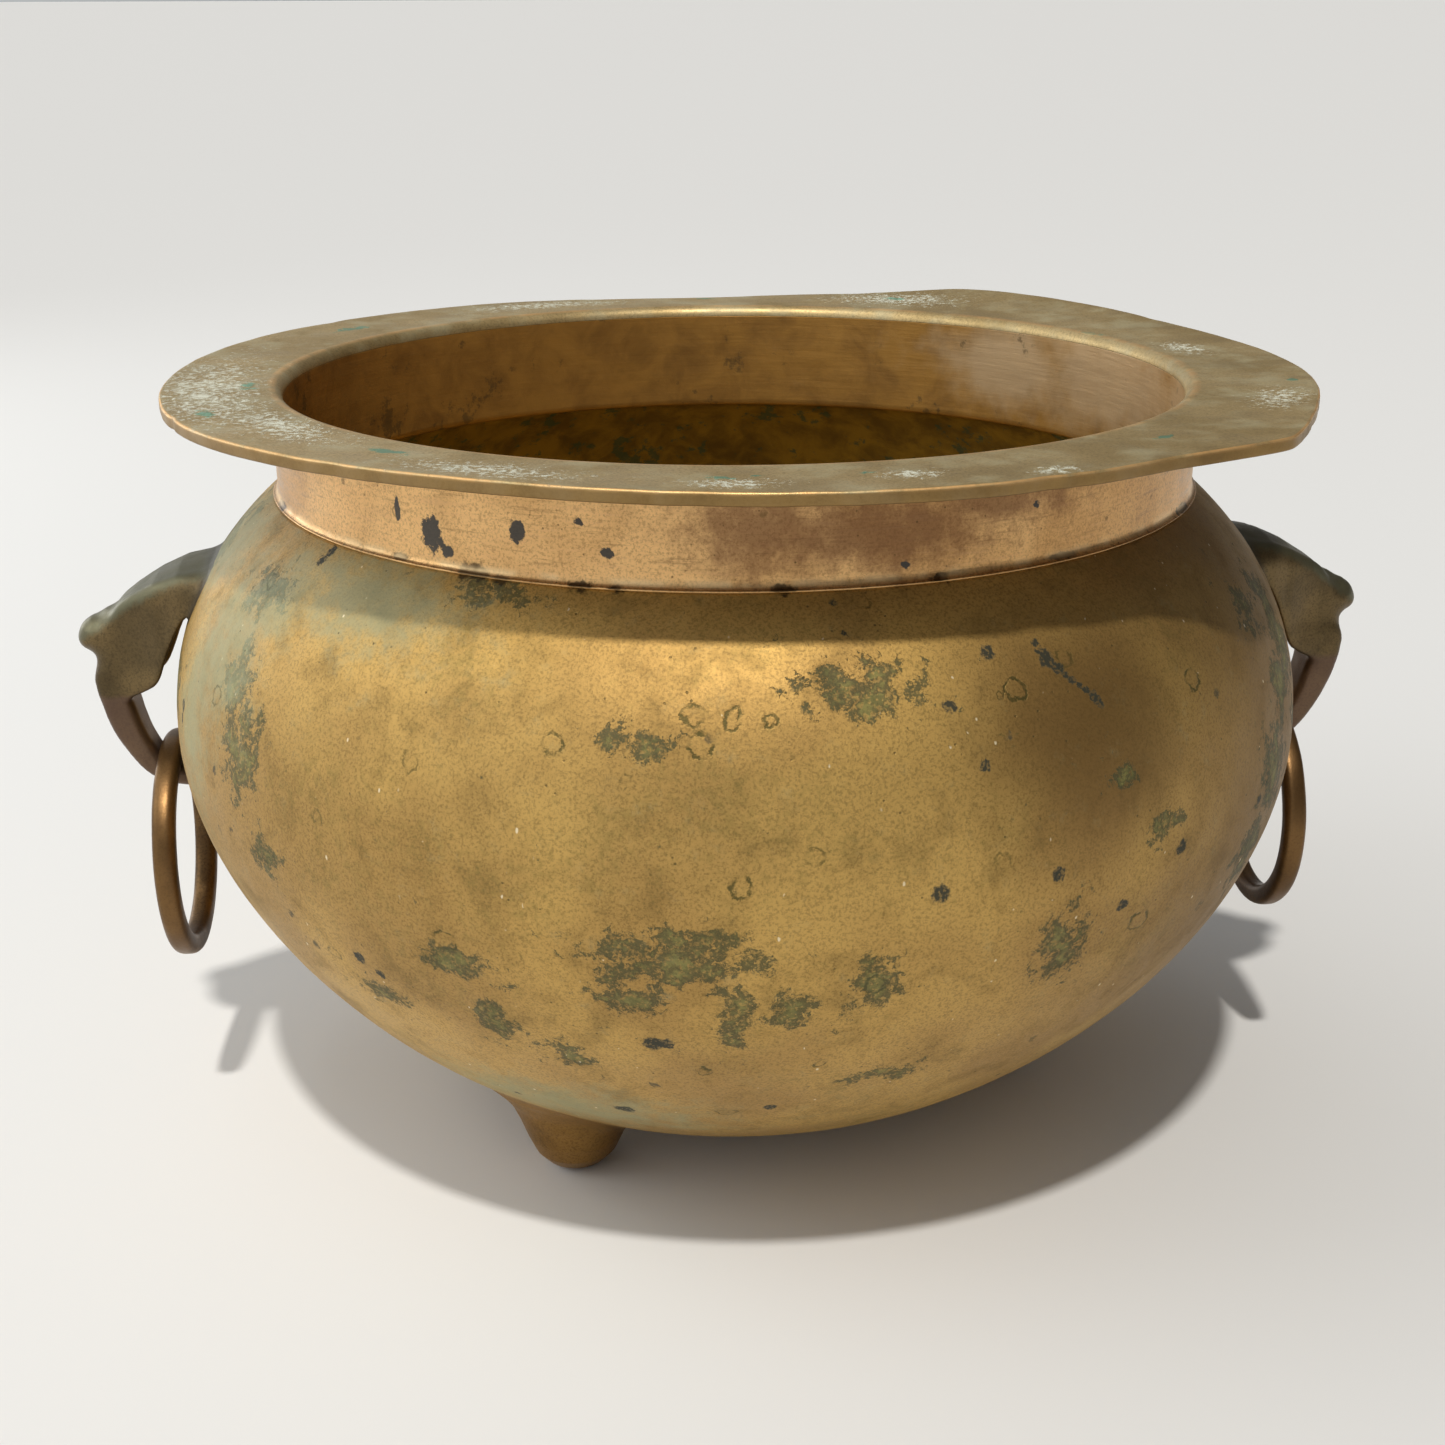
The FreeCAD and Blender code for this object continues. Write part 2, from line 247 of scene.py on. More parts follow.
# Where the brass is painted browner and darker on the right, partly a browner smooth patina and partly painted
# shade of darker surroundings; and where a light grey-green film lies on it, partly real and partly a painted
# sheen
BROWN_AND_SHADE_MARKS = ((-30, 105, 62, 70), (-62, 128, 30, 26))
PALE_FILM_AND_SHEEN_MARKS = ((-155, 136, 16, 17), (-160, 118, 12, 22), (-149, 148, 12, 9), (-118, 38, 30, 10),
              (-136, 152, 24, 8), (-172, 150, 20, 12))


MARK_FALL = 0.7     # how fast a mark fades: at its half width it has half its strength left


def turn_from(azimuth, middle):
    """Degrees from middle to azimuth the short way round."""
    return (azimuth - middle + 180) % 360 - 180


def mark_field(points, marks):
    """From 0 to 1, how near each point is to the middle of a mark on a round surface."""
    azimuth = np.degrees(np.arctan2(points[:, 1], points[:, 0]))
    radius = np.hypot(points[:, 0], points[:, 1])
    field = np.zeros(len(points))
    for mark_azimuth, height, half_width, half_height in marks:
        across = np.radians(turn_from(azimuth, mark_azimuth)) * radius / half_width
        up = (points[:, 2] - height) / half_height
        field = np.maximum(field, np.exp(-MARK_FALL * (across ** 2 + up ** 2)))
    return field


def scattered_marks(seed, count, azimuths, heights, sizes):
    """More marks of the same kinds, spread over the side that the listed ones leave bare."""
    draw = random.Random(seed)
    marks = []
    for _ in range(count):
        width = draw.uniform(*sizes)
        marks.append((draw.uniform(*azimuths), draw.uniform(*heights), width, width * draw.uniform(0.5, 1.4)))
    return marks


def belly():
    columns = 400
    azimuths = np.linspace(0, 2 * math.pi, columns, endpoint=False)
    outer_line = outside_profile()
    inner_line = outer_line - WALL * square_to(outer_line)
    inner_line[-1] = (0, BASE_HEIGHT + WALL)
    inner_line = inner_line[inner_line[:, 1] < NECK_BOTTOM + 0.1]
    outer = evenly(outer_line, 165)[:-1]
    inner = evenly(inner_line[::-1], 66)[1:]
    hole = np.array([[NECK_OUTER, NECK_BOTTOM + 0.6], [NECK_OUTER, outer_line[0, 1] - 0.9]])
    lines = np.concatenate([outer, inner, hole])
    normals = np.concatenate([square_to(outer), -square_to(inner[::-1])[::-1], np.zeros((2, 2))])
    points = around(lines, azimuths)
    directions = around(normals, azimuths)
    outer_count = len(outer) * columns
    green = mark_field(points, list(GREEN_MARKS) + scattered_marks(3, 46, (-40, 190), (40, 155), (3, 13)))
    pale_film_and_sheen = mark_field(points, PALE_FILM_AND_SHEEN_MARKS)
    brown_and_shade = mark_field(points, BROWN_AND_SHADE_MARKS)
    inside = np.zeros(len(points))
    inside[outer_count:] = 1
    lift = belly_waviness(points)
    hidden = points[outer_count:]
    lift[outer_count:] = 0.25 * noise(hidden, 30, 21) + 0.08 * noise(hidden, 9, 22)
    near_seam = np.exp(-((points[:, 2] - outer_line[0, 1]) / 2.5) ** 2)
    lift *= 1 - near_seam
    points = points + directions * lift[:, None]
    film = 0.4 * near_seam * np.clip(0.5 + fractal(points, 14, 31), 0, 1)
    seam_dirt = np.maximum(film, mark_field(points, SEAM_MARKS))
    rows = len(lines)
    last_outer = len(outer) - 1
    pairs = [(i, (i + 1) % rows) for i in range(rows) if i != last_outer]
    below, above = len(points), len(points) + 1
    faces = row_faces(pairs, columns)
    faces += fan_faces(last_outer, below, columns, True) + fan_faces(last_outer + 1, above, columns)
    points = np.concatenate([points, [[0, 0, BASE_HEIGHT], [0, 0, BASE_HEIGHT + WALL]]])
    fields = {"green": green, "pale_film_and_sheen": pale_film_and_sheen, "brown_and_shade": brown_and_shade, "inside": inside, "dirt": seam_dirt}
    for name, values in fields.items():
        fields[name] = np.append(values, [0, 1 if name == "inside" else 0])
    return add_mesh("belly", points, faces, "bowl", "bowl_body", fields)


# ---- Neck ----

# Dark deposits along the seam between neck and belly
SEAM_MARKS = (
    (-124.5, 159.6, 4.5, 2.0), (-121, 158.8, 3, 1.2), (-112, 159.2, 3.0, 1.2), (-108, 159, 2, 1),
    (-91, 159.4, 2.8, 1.3), (-74, 159.8, 2.4, 1.3), (-135, 160, 3, 0.8), (-58, 160, 5, 0.8),
    (-30, 160, 6, 1), (10, 160, 4, 1.2), (48, 160, 6, 1.1), (80, 160, 3, 1.4), (120, 160, 7, 1.2),
    (155, 160, 3, 1.5), (-165, 160, 5, 1),
)

NECK_DARK_MARKS = (
    (-130, 166, 2.4, 3.6), (-128, 163, 1.6, 1.4), (-119, 169, 1.7, 2.4), (-109, 166, 1.2, 1.2),
    (-135, 170, 0.8, 2.4), (-112, 172, 1.0, 0.8), (-78, 163, 1.0, 0.8), (-62, 172, 0.9, 0.8),
)
# Painted light: lighter patches on the inside of the neck's right side, where light falls on the inner wall
NECK_PAINTED_LIGHT_MARKS = ((14, 174, 34, 14), (38, 172, 20, 10), (-12, 170, 24, 14))
NECK_RED_MARKS = (
    (-93, 171, 14, 9), (-80, 170, 26, 8), (-66, 174, 20, 5), (40, 168, 30, 9), (120, 170, 22, 8),
)


def neck():
    columns = 480
    azimuths = np.linspace(0, 2 * math.pi, columns, endpoint=False)
    inner = NECK_OUTER - NECK_WALL
    seam = belly_radius(np.array([159.4]))[0]
    cove = [(NECK_OUTER + 1.3 * (1 - math.sin(t)), 161.2 - 2.0 * math.cos(t))
            for t in np.linspace(math.pi / 2, 0.12, 7)]
    outer = [(NECK_OUTER, RIM_BOTTOM), (NECK_OUTER, RIM_BOTTOM - 0.1)]
    outer += [(NECK_OUTER, z) for z in np.linspace(RIM_BOTTOM - 0.7, 161.4, 25)] + cove
    under = [(seam + 0.2, 158.4), (NECK_OUTER - 0.2, 158.0)]
    lower = [(NECK_OUTER - 0.15, z) for z in np.linspace(157.4, NECK_BOTTOM + 0.5, 3)]
    bottom = [(NECK_OUTER - 0.6, NECK_BOTTOM), (inner + 0.6, NECK_BOTTOM)]
    inside = [(inner, z) for z in np.linspace(NECK_BOTTOM + 0.6, RIM_BOTTOM - 0.7, 21)]
    inside += [(inner, RIM_BOTTOM - 0.1), (inner, RIM_BOTTOM)]
    profile = np.array(outer + under + lower + bottom + inside)
    points = around(profile, azimuths)
    radial = np.tile(np.stack([np.cos(azimuths), np.sin(azimuths)], axis=1), (len(profile), 1))
    banded = points * np.array([0.12, 0.12, 1.0])
    lift = 0.16 * noise(points, 40, 41) + 0.05 * noise(points, 9, 42) + 0.035 * noise(banded, 1.3, 43)
    free = np.clip((RIM_BOTTOM - points[:, 2]) / 3, 0, 1)
    row = np.repeat(np.arange(len(profile)), columns)
    visible = (row < len(outer)).astype(float)
    inner_face = (row >= len(profile) - len(inside)).astype(float)
    points[:, :2] += radial * (lift * free * (visible + inner_face))[:, None]
    height_above_seam = points[:, 2] - 159.3
    film = 0.45 * np.exp(-(height_above_seam / 1.2) ** 2)
    dirt = np.maximum(film, mark_field(points, SEAM_MARKS)) * visible
    # A painted highlight: a light line along the cove just above the seam
    edge = np.exp(-((points[:, 2] - 160.3) / 0.8) ** 2) * visible
    # Painted light on the inner wall of the neck
    painted_inner_light = mark_field(points, NECK_PAINTED_LIGHT_MARKS) * inner_face
    dark = mark_field(points, NECK_DARK_MARKS) * visible
    red = mark_field(points, NECK_RED_MARKS) * visible
    fields = {"dark": dark, "painted_inner_light": painted_inner_light, "red": red, "dirt": dirt, "edge": edge, "inside": 1 - visible}
    faces = grid_faces(len(profile), columns)
    return add_mesh("neck", points, faces, "bowl", "neck_collar", fields)


# ---- Rim ----

def rim_radius(azimuth):
    """The rim's outline, in degrees from -180 to 180: round, and wide between two corners."""
    corners = np.array(WIDE_SIDE)
    return np.interp(azimuth, corners[:, 0], corners[:, 1], RIM_RADIUS, RIM_RADIUS)


# Bends of the plate: azimuth, spread in degrees and rise at the outer edge in millimetres
RIM_BENDS = ((-120, 26, 1.1), (92, 16, -1.1), (48, 22, 1.5), (-30, 24, 0.7), (150, 30, 0.5), (185, 20, -0.5))
# Nicks in the outer edge: azimuth, half width in degrees and depth in millimetres
RIM_NICKS = (
    (-70, 1.6, 0.7), (-67, 0.8, 0.4), (-131, 1.2, 0.5), (104, 2.5, -0.9), (27, 1.5, 0.5),
    (-160, 1.0, 0.4), (140, 1.4, 0.6), (84, 5.0, 1.4),
)
# Pale crust and verdigris on the top: azimuth and radius of the middle, half widths along and across
RIM_CRUST = ((-172, 124, 60, 16), (-150, 118, 30, 10), (-118, 124, 24, 9), (-96, 126, 12, 6), (-80, 122, 9, 5),
             (-68, 130, 7, 4), (-25, 128, 16, 8), (8, 118, 12, 7), (62, 126, 26, 12), (110, 124, 30, 9))
RIM_TEAL = (
    (-97, 121, 4, 2.6), (-94, 119, 2.5, 1.6), (-84, 119, 2.4, 1.6), (-131, 118, 6, 2.2),
    (-50, 121, 3, 1.5), (-14, 131, 2.5, 1.6), (24, 109, 5, 2.0), (62, 127, 4, 2.2), (-160, 127, 5, 2),
    (142, 122, 8, 3), (88, 128, 4, 2), (-175, 114, 6, 2),
)


def rim_field(degrees, points, marks, rows):
    """From 0 to 1, how near each point of the rim's top is to the middle of a mark."""
    azimuth = np.tile(degrees, rows)
    radius = np.hypot(points[:, 0], points[:, 1])
    field = np.zeros(len(points))
    for mark_azimuth, mark_radius, half_width, half_depth in marks:
        across = np.radians(turn_from(azimuth, mark_azimuth)) * mark_radius / half_width
        out = (radius - mark_radius) / half_depth
        field = np.maximum(field, np.exp(-MARK_FALL * (across ** 2 + out ** 2)))
    return field


RIM_ARRIS, LOWER_ARRIS = 0.55, 0.45
# What a rim row's place is: a radius, a share of the way over the flat, or a distance past its edge
AT_RADIUS, ON_FLAT, PAST_EDGE = 0, 1, 2


def rim():
    columns = 900
    degrees = np.linspace(-180, 180, columns, endpoint=False)
    azimuths = np.radians(degrees)
    outline = rim_radius(degrees)
    kernel = np.hanning(11)[1:-1] / np.hanning(11).sum()
    outline = np.convolve(np.concatenate([outline[-4:], outline, outline[:4]]), kernel, "valid")
    for azimuth, half_width, depth in RIM_NICKS:
        outline = outline - depth * np.exp(-(turn_from(degrees, azimuth) / half_width) ** 2)
    bend = sum(rise * np.exp(-(turn_from(degrees, azimuth) / spread) ** 2)
               for azimuth, spread, rise in RIM_BENDS)
    inner = NECK_OUTER - NECK_WALL
    thick = RIM_TOP - RIM_BOTTOM
    start, edge = inner + thick, outline - RIM_ARRIS
    # Each row is a place, a height above the plate's underside and what the place is measured by
    rows = [(inner + thick * (1 - math.cos(t)), thick * math.sin(t), AT_RADIUS)
            for t in (0, 0.05, 0.25, 0.5, 0.75, 1.0, 1.25, 1.45, math.pi / 2)]
    rows += [(share, thick, ON_FLAT) for share in np.linspace(0.04, 1, 30)]
    rows += [(RIM_ARRIS * math.sin(t), thick - RIM_ARRIS * (1 - math.cos(t)), PAST_EDGE)
             for t in np.linspace(0.4, math.pi / 2, 4)]
    rows += [(RIM_ARRIS, z, PAST_EDGE) for z in (1.9, 1.35, 0.8)]
    rows += [(RIM_ARRIS - LOWER_ARRIS * (1 - math.cos(t)), LOWER_ARRIS * (1 - math.sin(t)), PAST_EDGE)
             for t in np.linspace(0.2, math.pi / 2, 4)]
    rows += [(share, 0.0, ON_FLAT) for share in np.linspace(0.97, 0, 16)]
    rows += [(inner + 0.12, 0.0, AT_RADIUS)]
    points = []
    for value, height, kind in rows:
        if kind == AT_RADIUS:
            radius = np.full(columns, value)
        elif kind == ON_FLAT:
            radius = start + (edge - start) * value
        else:
            radius = edge + value
        share = np.clip((radius - start) / (RIM_RADIUS - start), 0, 1.3)
        z = RIM_BOTTOM + height + bend * share ** 2
        points.append(np.stack([radius * np.cos(azimuths), radius * np.sin(azimuths), z], axis=1))
    points = np.concatenate(points)
    radius = np.hypot(points[:, 0], points[:, 1])
    out_share = np.clip((radius - start) / (RIM_RADIUS - start), 0, 1)
    points[:, 2] += (0.16 * noise(points, 28, 51) + 0.06 * noise(points, 7, 52)) * out_share
    kind = np.repeat([row[2] for row in rows], columns)
    height = np.repeat([row[1] for row in rows], columns)
    at_edge = kind == PAST_EDGE
    worn = 0.22 * np.clip(noise(points, 6, 53), 0, 1) * at_edge
    points[:, :2] *= (1 - worn / radius)[:, None]
    top = (height > thick - 0.35).astype(float)
    lip = (kind == AT_RADIUS) * (height > thick * 0.85)
    # Painted highlight: a light line along the outer edge's top arris and round the inner lip
    bright = np.exp(-((height - thick + 0.15) / 0.35) ** 2) * at_edge + 0.6 * lip
    crust = rim_field(degrees, points, RIM_CRUST, len(rows)) * top
    teal = rim_field(degrees, points, RIM_TEAL, len(rows)) * top
    edge_wall = at_edge * (height < thick - 0.5)
    # Painted shade: the plate's underside is darkened
    under = (height < 0.1).astype(float)
    fields = {"crust": crust, "teal": teal, "bright": bright, "edge_wall": edge_wall, "under": under}
    faces = grid_faces(len(rows), columns)
    return add_mesh("rim", points, faces, "bowl", "rim_flange", fields)


# ---- Solids from a distance-like function, meshed on a grid and drawn onto the surface ----

def soft_min(a, b, width):
    blend = np.clip(width - np.abs(a - b), 0, None) / width
    return np.minimum(a, b) - blend * blend * width / 4


def soft_max(a, b, width):
    return -soft_min(-a, -b, width)


def mesh_of(function, low, high, cell):
    """Points and quads of the surface where the function is zero, inside where it is below."""
    low, high = np.array(low, float), np.array(high, float)
    counts = np.ceil((high - low) / cell).astype(int) + 1
    axes = [low[i] + cell * np.arange(counts[i]) for i in range(3)]
    samples = np.stack(np.meshgrid(*axes, indexing="ij"), axis=-1)
    values = function(samples.reshape(-1, 3)).reshape(counts)
    total, hits = np.zeros(tuple(counts - 1) + (3,)), np.zeros(tuple(counts - 1))
    corners = [(i, j, k) for i in (0, 1) for j in (0, 1) for k in (0, 1)]

    def corner_values(corner):
        return values[tuple(slice(c, c + n - 1) for c, n in zip(corner, counts))]

    for a in corners:
        for axis in range(3):
            if a[axis]:
                continue
            b = tuple(1 if i == axis else c for i, c in enumerate(a))
            va, vb = corner_values(a), corner_values(b)
            cross = (va < 0) != (vb < 0)
            share = np.where(cross, va / np.where(cross, va - vb, 1), 0)
            place = np.array(a, float) + share[..., None] * (np.array(b) - np.array(a))
            total += place * cross[..., None]
            hits += cross
    active = hits > 0
    index = np.full(hits.shape, -1)
    index[active] = np.arange(active.sum())
    cells = np.argwhere(active)
    points = low + cell * (cells + total[active] / hits[active][:, None])
    faces = []
    for axis in range(3):
        u, v = [i for i in range(3) if i != axis]
        inner = [slice(1, n - 1) for n in counts]
        inner[axis] = slice(0, counts[axis] - 1)
        beyond = list(inner)
        beyond[axis] = slice(1, counts[axis])
        va, vb = values[tuple(inner)], values[tuple(beyond)]
        starts = np.argwhere((va < 0) != (vb < 0))
        into = (va < 0)[tuple(starts.T)]
        starts = starts + np.array([0 if i == axis else 1 for i in range(3)])
        quads = []
        for du, dv in ((1, 1), (0, 1), (0, 0), (1, 0)):
            cell_at = starts.copy()
            cell_at[:, u] -= du
            cell_at[:, v] -= dv
            quads.append(index[tuple(cell_at.T)])
        quads = np.stack(quads, axis=1)
        turned = into if axis != 1 else ~into
        quads[~turned] = quads[~turned][:, ::-1]
        faces.append(quads)
    points = drawn_on(function, points, cell)
    return points, np.concatenate(faces)


def drawn_on(function, points, cell):
    """Each point moved along the function's slope until it lies on the surface."""
    step = 0.05
    for _ in range(4):
        value = function(points)
        slope = np.stack([(function(points + way) - function(points - way)) / (2 * step)
                          for way in step * np.eye(3)], axis=1)
        size = np.maximum((slope ** 2).sum(axis=1), 0.05)
        move = slope * (value / size)[:, None]
        length = np.sqrt((move ** 2).sum(axis=1))
        limit = np.minimum(1, 0.4 * cell / np.maximum(length, 1e-9))
        points = points - move * limit[:, None]
    return points


def outside_belly_side(points):
    """Distance outside the wavy belly, good near its side."""
    radius = np.hypot(points[:, 0], points[:, 1])
    wall = belly_radius(points[:, 2])
    slope = (belly_radius(points[:, 2] + 0.5) - belly_radius(points[:, 2] - 0.5))
    on_wall = points.copy()
    on_wall[:, :2] *= (wall / np.maximum(radius, 1e-6))[:, None]
    return (radius - wall) / np.sqrt(1 + slope ** 2) - belly_waviness(on_wall)


def outside_belly_base(points):
    """Distance below the wavy belly, good near its underside."""
    radius = np.hypot(points[:, 0], points[:, 1])
    height = underside(radius)
    slope = underside(radius + 0.5) - underside(radius - 0.5)
    on_base = np.stack([points[:, 0], points[:, 1], height], axis=1)
    return (height - points[:, 2]) / np.sqrt(1 + slope ** 2) - belly_waviness(on_base)


def turned(points, degrees):
    angle = math.radians(degrees)
    c, s = math.cos(angle), math.sin(angle)
    return points @ np.array([[c, s, 0], [-s, c, 0], [0, 0, 1]])


def stud_head(centre, outward, radius, thick, seed):
    """A hammered round head on the inside of the wall, as points and faces."""
    axis = np.array(outward, float) / np.linalg.norm(outward)
    side = np.cross(axis, [0, 1, 0] if abs(axis[1]) < 0.9 else [1, 0, 0])
    side /= np.linalg.norm(side)
    other = np.cross(axis, side)
    columns = 48
    profile = [(radius, 0.6), (radius * 1.01, -thick * 0.45), (radius * 0.9, -thick * 0.8),
               (radius * 0.7, -thick * 0.97), (radius * 0.35, -thick * 1.04)]
    points = []
    for r, depth in profile:
        for j in range(columns):
            angle = 2 * math.pi * j / columns
            points.append(centre + axis * depth + r * (math.cos(angle) * side + math.sin(angle) * other))
    points = np.array(points + [centre + axis * 0.6, centre - axis * thick * 1.05])
    points += 0.16 * noise(points, 3.0, seed)[:, None] * axis
    faces = grid_faces(len(profile), columns, False) + fan_faces(0, len(points) - 2, columns, True)
    return points, faces + fan_faces(len(profile) - 1, len(points) - 1, columns)


def joined(parts):
    points, faces, offset = [], [], 0
    for part_points, part_faces in parts:
        points.append(part_points)
        faces += [tuple(int(i) + offset for i in face) for face in part_faces]
        offset += len(part_points)
    return np.concatenate(points), faces


# ---- Feet ----

def foot(name, azimuth, seed):
    side = np.array(FOOT_SIDE)

    def solid(points):
        local = turned(points, -azimuth)
        x, y = local[:, 0] - FOOT_RADIUS, local[:, 1]
        radius = np.hypot(x, y)
        allowed = np.interp(local[:, 2], side[:, 1], side[:, 0])
        nub = (radius - allowed) * 0.8 + 0.16 * noise(points, 7, seed)
        nub = soft_max(nub, -local[:, 2], 1.2)
        skin = outside_belly_base(points)
        blended = soft_min(nub, skin + 0.35 * np.clip(nub / 4.0, 0, 1) ** 2, 3.5)
        return soft_max(soft_max(blended, -(skin + 1.2), 0.3), nub - 4.0, 0.3)

    centre = turned(np.array([[FOOT_RADIUS, 0, 0]]), azimuth)[0]
    reach = 24.0
    points, faces = mesh_of(solid, (centre[0] - reach, centre[1] - reach, -1.0),
                            (centre[0] + reach, centre[1] + reach, 34.0), 0.6)
    points[:, 2] = np.maximum(points[:, 2], 0.0)
    inner = np.array([centre[0], centre[1], underside(np.array([FOOT_RADIUS]))[0] + WALL])
    head = stud_head(inner, (0, 0, -1), 8.2, 1.8, seed + 1)
    points, faces = joined([(points, faces), head])
    root = np.clip(1 - outside_belly_base(points) / 3.0, 0, 1)
    return add_mesh(name + "_cast", points, faces, "bowl", name, {"root": root})


# ---- Handles: a hollow beast head with a curled trunk ----

# The head's top and half width at distances from the bowl's axis, and its front at heights
HEAD_TOP = (
    (120, 142.6), (127, 142.4), (134, 140.8), (140, 138.0), (146, 134.2), (151, 130.4), (155, 127.2),
    (162, 122.5),
)
HEAD_HALF_WIDTH = (
    (120, 15.5), (127, 15.0), (134, 13.4), (140, 11.6), (146, 9.2), (151, 7.2), (155, 6.0), (162, 5.0),
)
HEAD_FRONT = (
    (100, 154.0), (107, 155.6), (112, 156.6), (117, 156.2), (122, 155.6), (130, 152.5), (145, 150.0),
)
# Bent centre lines: distance from the axis, height and half thickness
KNOB_LINE = ((151.5, 124.0, 5.4), (155.5, 122.7, 4.6), (157.8, 121.9, 2.6))
TRUNK_LINE = (
    (152.4, 112.0, 3.9), (151.8, 106.0, 3.8), (150.2, 100.0, 3.6), (147.8, 94.5, 3.2), (144.6, 89.6, 2.9),
    (140.5, 86.9, 2.6), (135.5, 86.0, 2.6), (131.0, 85.9, 2.6),
)
# The gap between head and belly: the heights where it closes and where it is widest, and its width
GAP_TOP, GAP_BOTTOM, GAP_END = 137.0, 107.0, 5.2
HEAD_WALL = 2.5
# The studs that fasten a handle: height and radius of the hammered head on the inside
HANDLE_STUDS = ((137.0, 6.0), (86.2, 4.0))


def along_line(x, z, line, blend=0.8):
    """Distance to a bent centre line whose half thickness changes along it, less that thickness."""
    best = np.full(len(x), 1e9)
    for (x0, z0, t0), (x1, z1, t1) in zip(line[:-1], line[1:]):
        dx, dz = x1 - x0, z1 - z0
        share = np.clip(((x - x0) * dx + (z - z0) * dz) / (dx * dx + dz * dz), 0, 1)
        gap = np.hypot(x - x0 - share * dx, z - z0 - share * dz) - (t0 + (t1 - t0) * share)
        best = soft_min(best, gap, blend)
    return best


def tabled(values, table):
    table = np.array(table)
    return np.interp(values, table[:, 0], table[:, 1])


def head_shape(x, y, z, shrink):
    """The head's outside, or its hollow when it is shrunk by the wall."""
    half = tabled(x, HEAD_HALF_WIDTH)
    brow = np.exp(-((np.abs(y) - half * 0.86) / 2.6) ** 2)
    roof = (z - tabled(x, HEAD_TOP) + 0.016 * y ** 2 - 0.7 * brow) * 0.82 + shrink
    dish = 1.5 * np.exp(-((z - 121) / 8) ** 2 - ((x - 145.5) / 6) ** 2)
    ear = 1.4 * np.clip((138 - x) / 8, 0, 1) * np.clip((z - 112) / 12, 0, 1)
    cheek = np.abs(y) - (half - dish + ear) + shrink
    front = (x - tabled(z, HEAD_FRONT)) * 0.96 + shrink * 1.15
    return soft_max(soft_max(roof, cheek, 3.2), front, 4.0)


def eased(line, count):
    """The same bent line through its points as a smooth curve of count points."""
    line = np.array(line)
    padded = np.concatenate([2 * line[:1] - line[1:2], line, 2 * line[-1:] - line[-2:-1]])
    places = np.linspace(0, len(line) - 1 - 1e-9, count)
    i = places.astype(int)
    t = (places - i)[:, None]
    a, b, c, d = (padded[i + k] for k in range(4))
    bend, twist = 2 * a - 5 * b + 4 * c - d, 3 * b - a - 3 * c + d
    return 0.5 * (2 * b + (c - a) * t + bend * t ** 2 + twist * t ** 3)


def handle(name, degrees, seed):
    trunk_line = eased(TRUNK_LINE, 26)

    def solid(points):
        local = turned(points, -degrees)
        x, y, z = local.T
        skin = outside_belly_side(points)
        outer = soft_max(head_shape(x, y, z, 0.0), 107.0 + 0.03 * (x - 154) ** 2 - z, 3.0)
        hollow = head_shape(x, y, z, HEAD_WALL)
        head = soft_max(outer, -hollow, 0.9)
        gap = np.interp(z, (GAP_BOTTOM, GAP_TOP), (GAP_END, -0.2))
        head = soft_max(head, gap - skin, 1.6)
        line_x = np.hypot(x, y * 0.15)
        knob = np.sqrt(np.maximum(along_line(x, z, KNOB_LINE) + 6.0, 0) ** 2 + (y * 1.05) ** 2) - 6.0
        head = soft_min(head, knob, 2.2)
        strap = along_line(line_x, z, trunk_line, 0.05)
        half = np.interp(z, (84, 92, 106), (4.6, 5.3, 6.4))
        strap = soft_max(strap, np.abs(y) - half, 2.6)
        shape = soft_min(head, strap, 2.0)
        shape = shape + 0.09 * noise(points, 7, seed) + 0.025 * noise(points, 2.5, seed + 1)
        blended = soft_min(shape, skin + 0.35 * np.clip(shape / 2.4, 0, 1) ** 2, 2.2)
        return soft_max(soft_max(blended, -(skin + 1.0), 0.3), shape - 2.4, 0.3)

    low, high = np.array([122.0, -20.0, 78.0]), np.array([162.5, 20.0, 147.0])
    if degrees:
        low[0], high[0] = -high[0], -low[0]
    points, faces = mesh_of(solid, low, high, 0.55)
    parts = [(points, faces)]
    for height, radius in HANDLE_STUDS:
        wall = belly_radius(np.array([height - 0.5, height, height + 0.5]))
        normal = np.array([1.0, 0.0, wall[0] - wall[2]])
        normal /= np.linalg.norm(normal)
        centre = np.array([wall[1], 0.0, height]) - WALL * normal
        centre, normal = turned(np.stack([centre, normal]), degrees)
        parts.append(stud_head(centre, normal, radius, 1.6, seed + 2))
    points, faces = joined(parts)
    local = turned(points, -degrees)
    trunk = np.clip((110.5 - local[:, 2]) / 4, 0, 1)
    crown = np.clip((local[:, 2] - tabled(local[:, 0], HEAD_TOP) + 6.0) / 5.0, 0, 1)
    # Painted shade: darker where the handle comes close to the belly
    crevice_shade = np.clip(1 - outside_belly_side(points) / 2.0, 0, 1)
    return add_mesh(name + "_cast", points, faces, "bowl", name,
                    {"trunk": trunk, "crown": crown, "crevice_shade": crevice_shade})


# ---- Rings ----

RING_SECTION_POWER = 0.72   # 1 is an ellipse, less is squarer
RING_JOINT = 118            # degrees round the ring


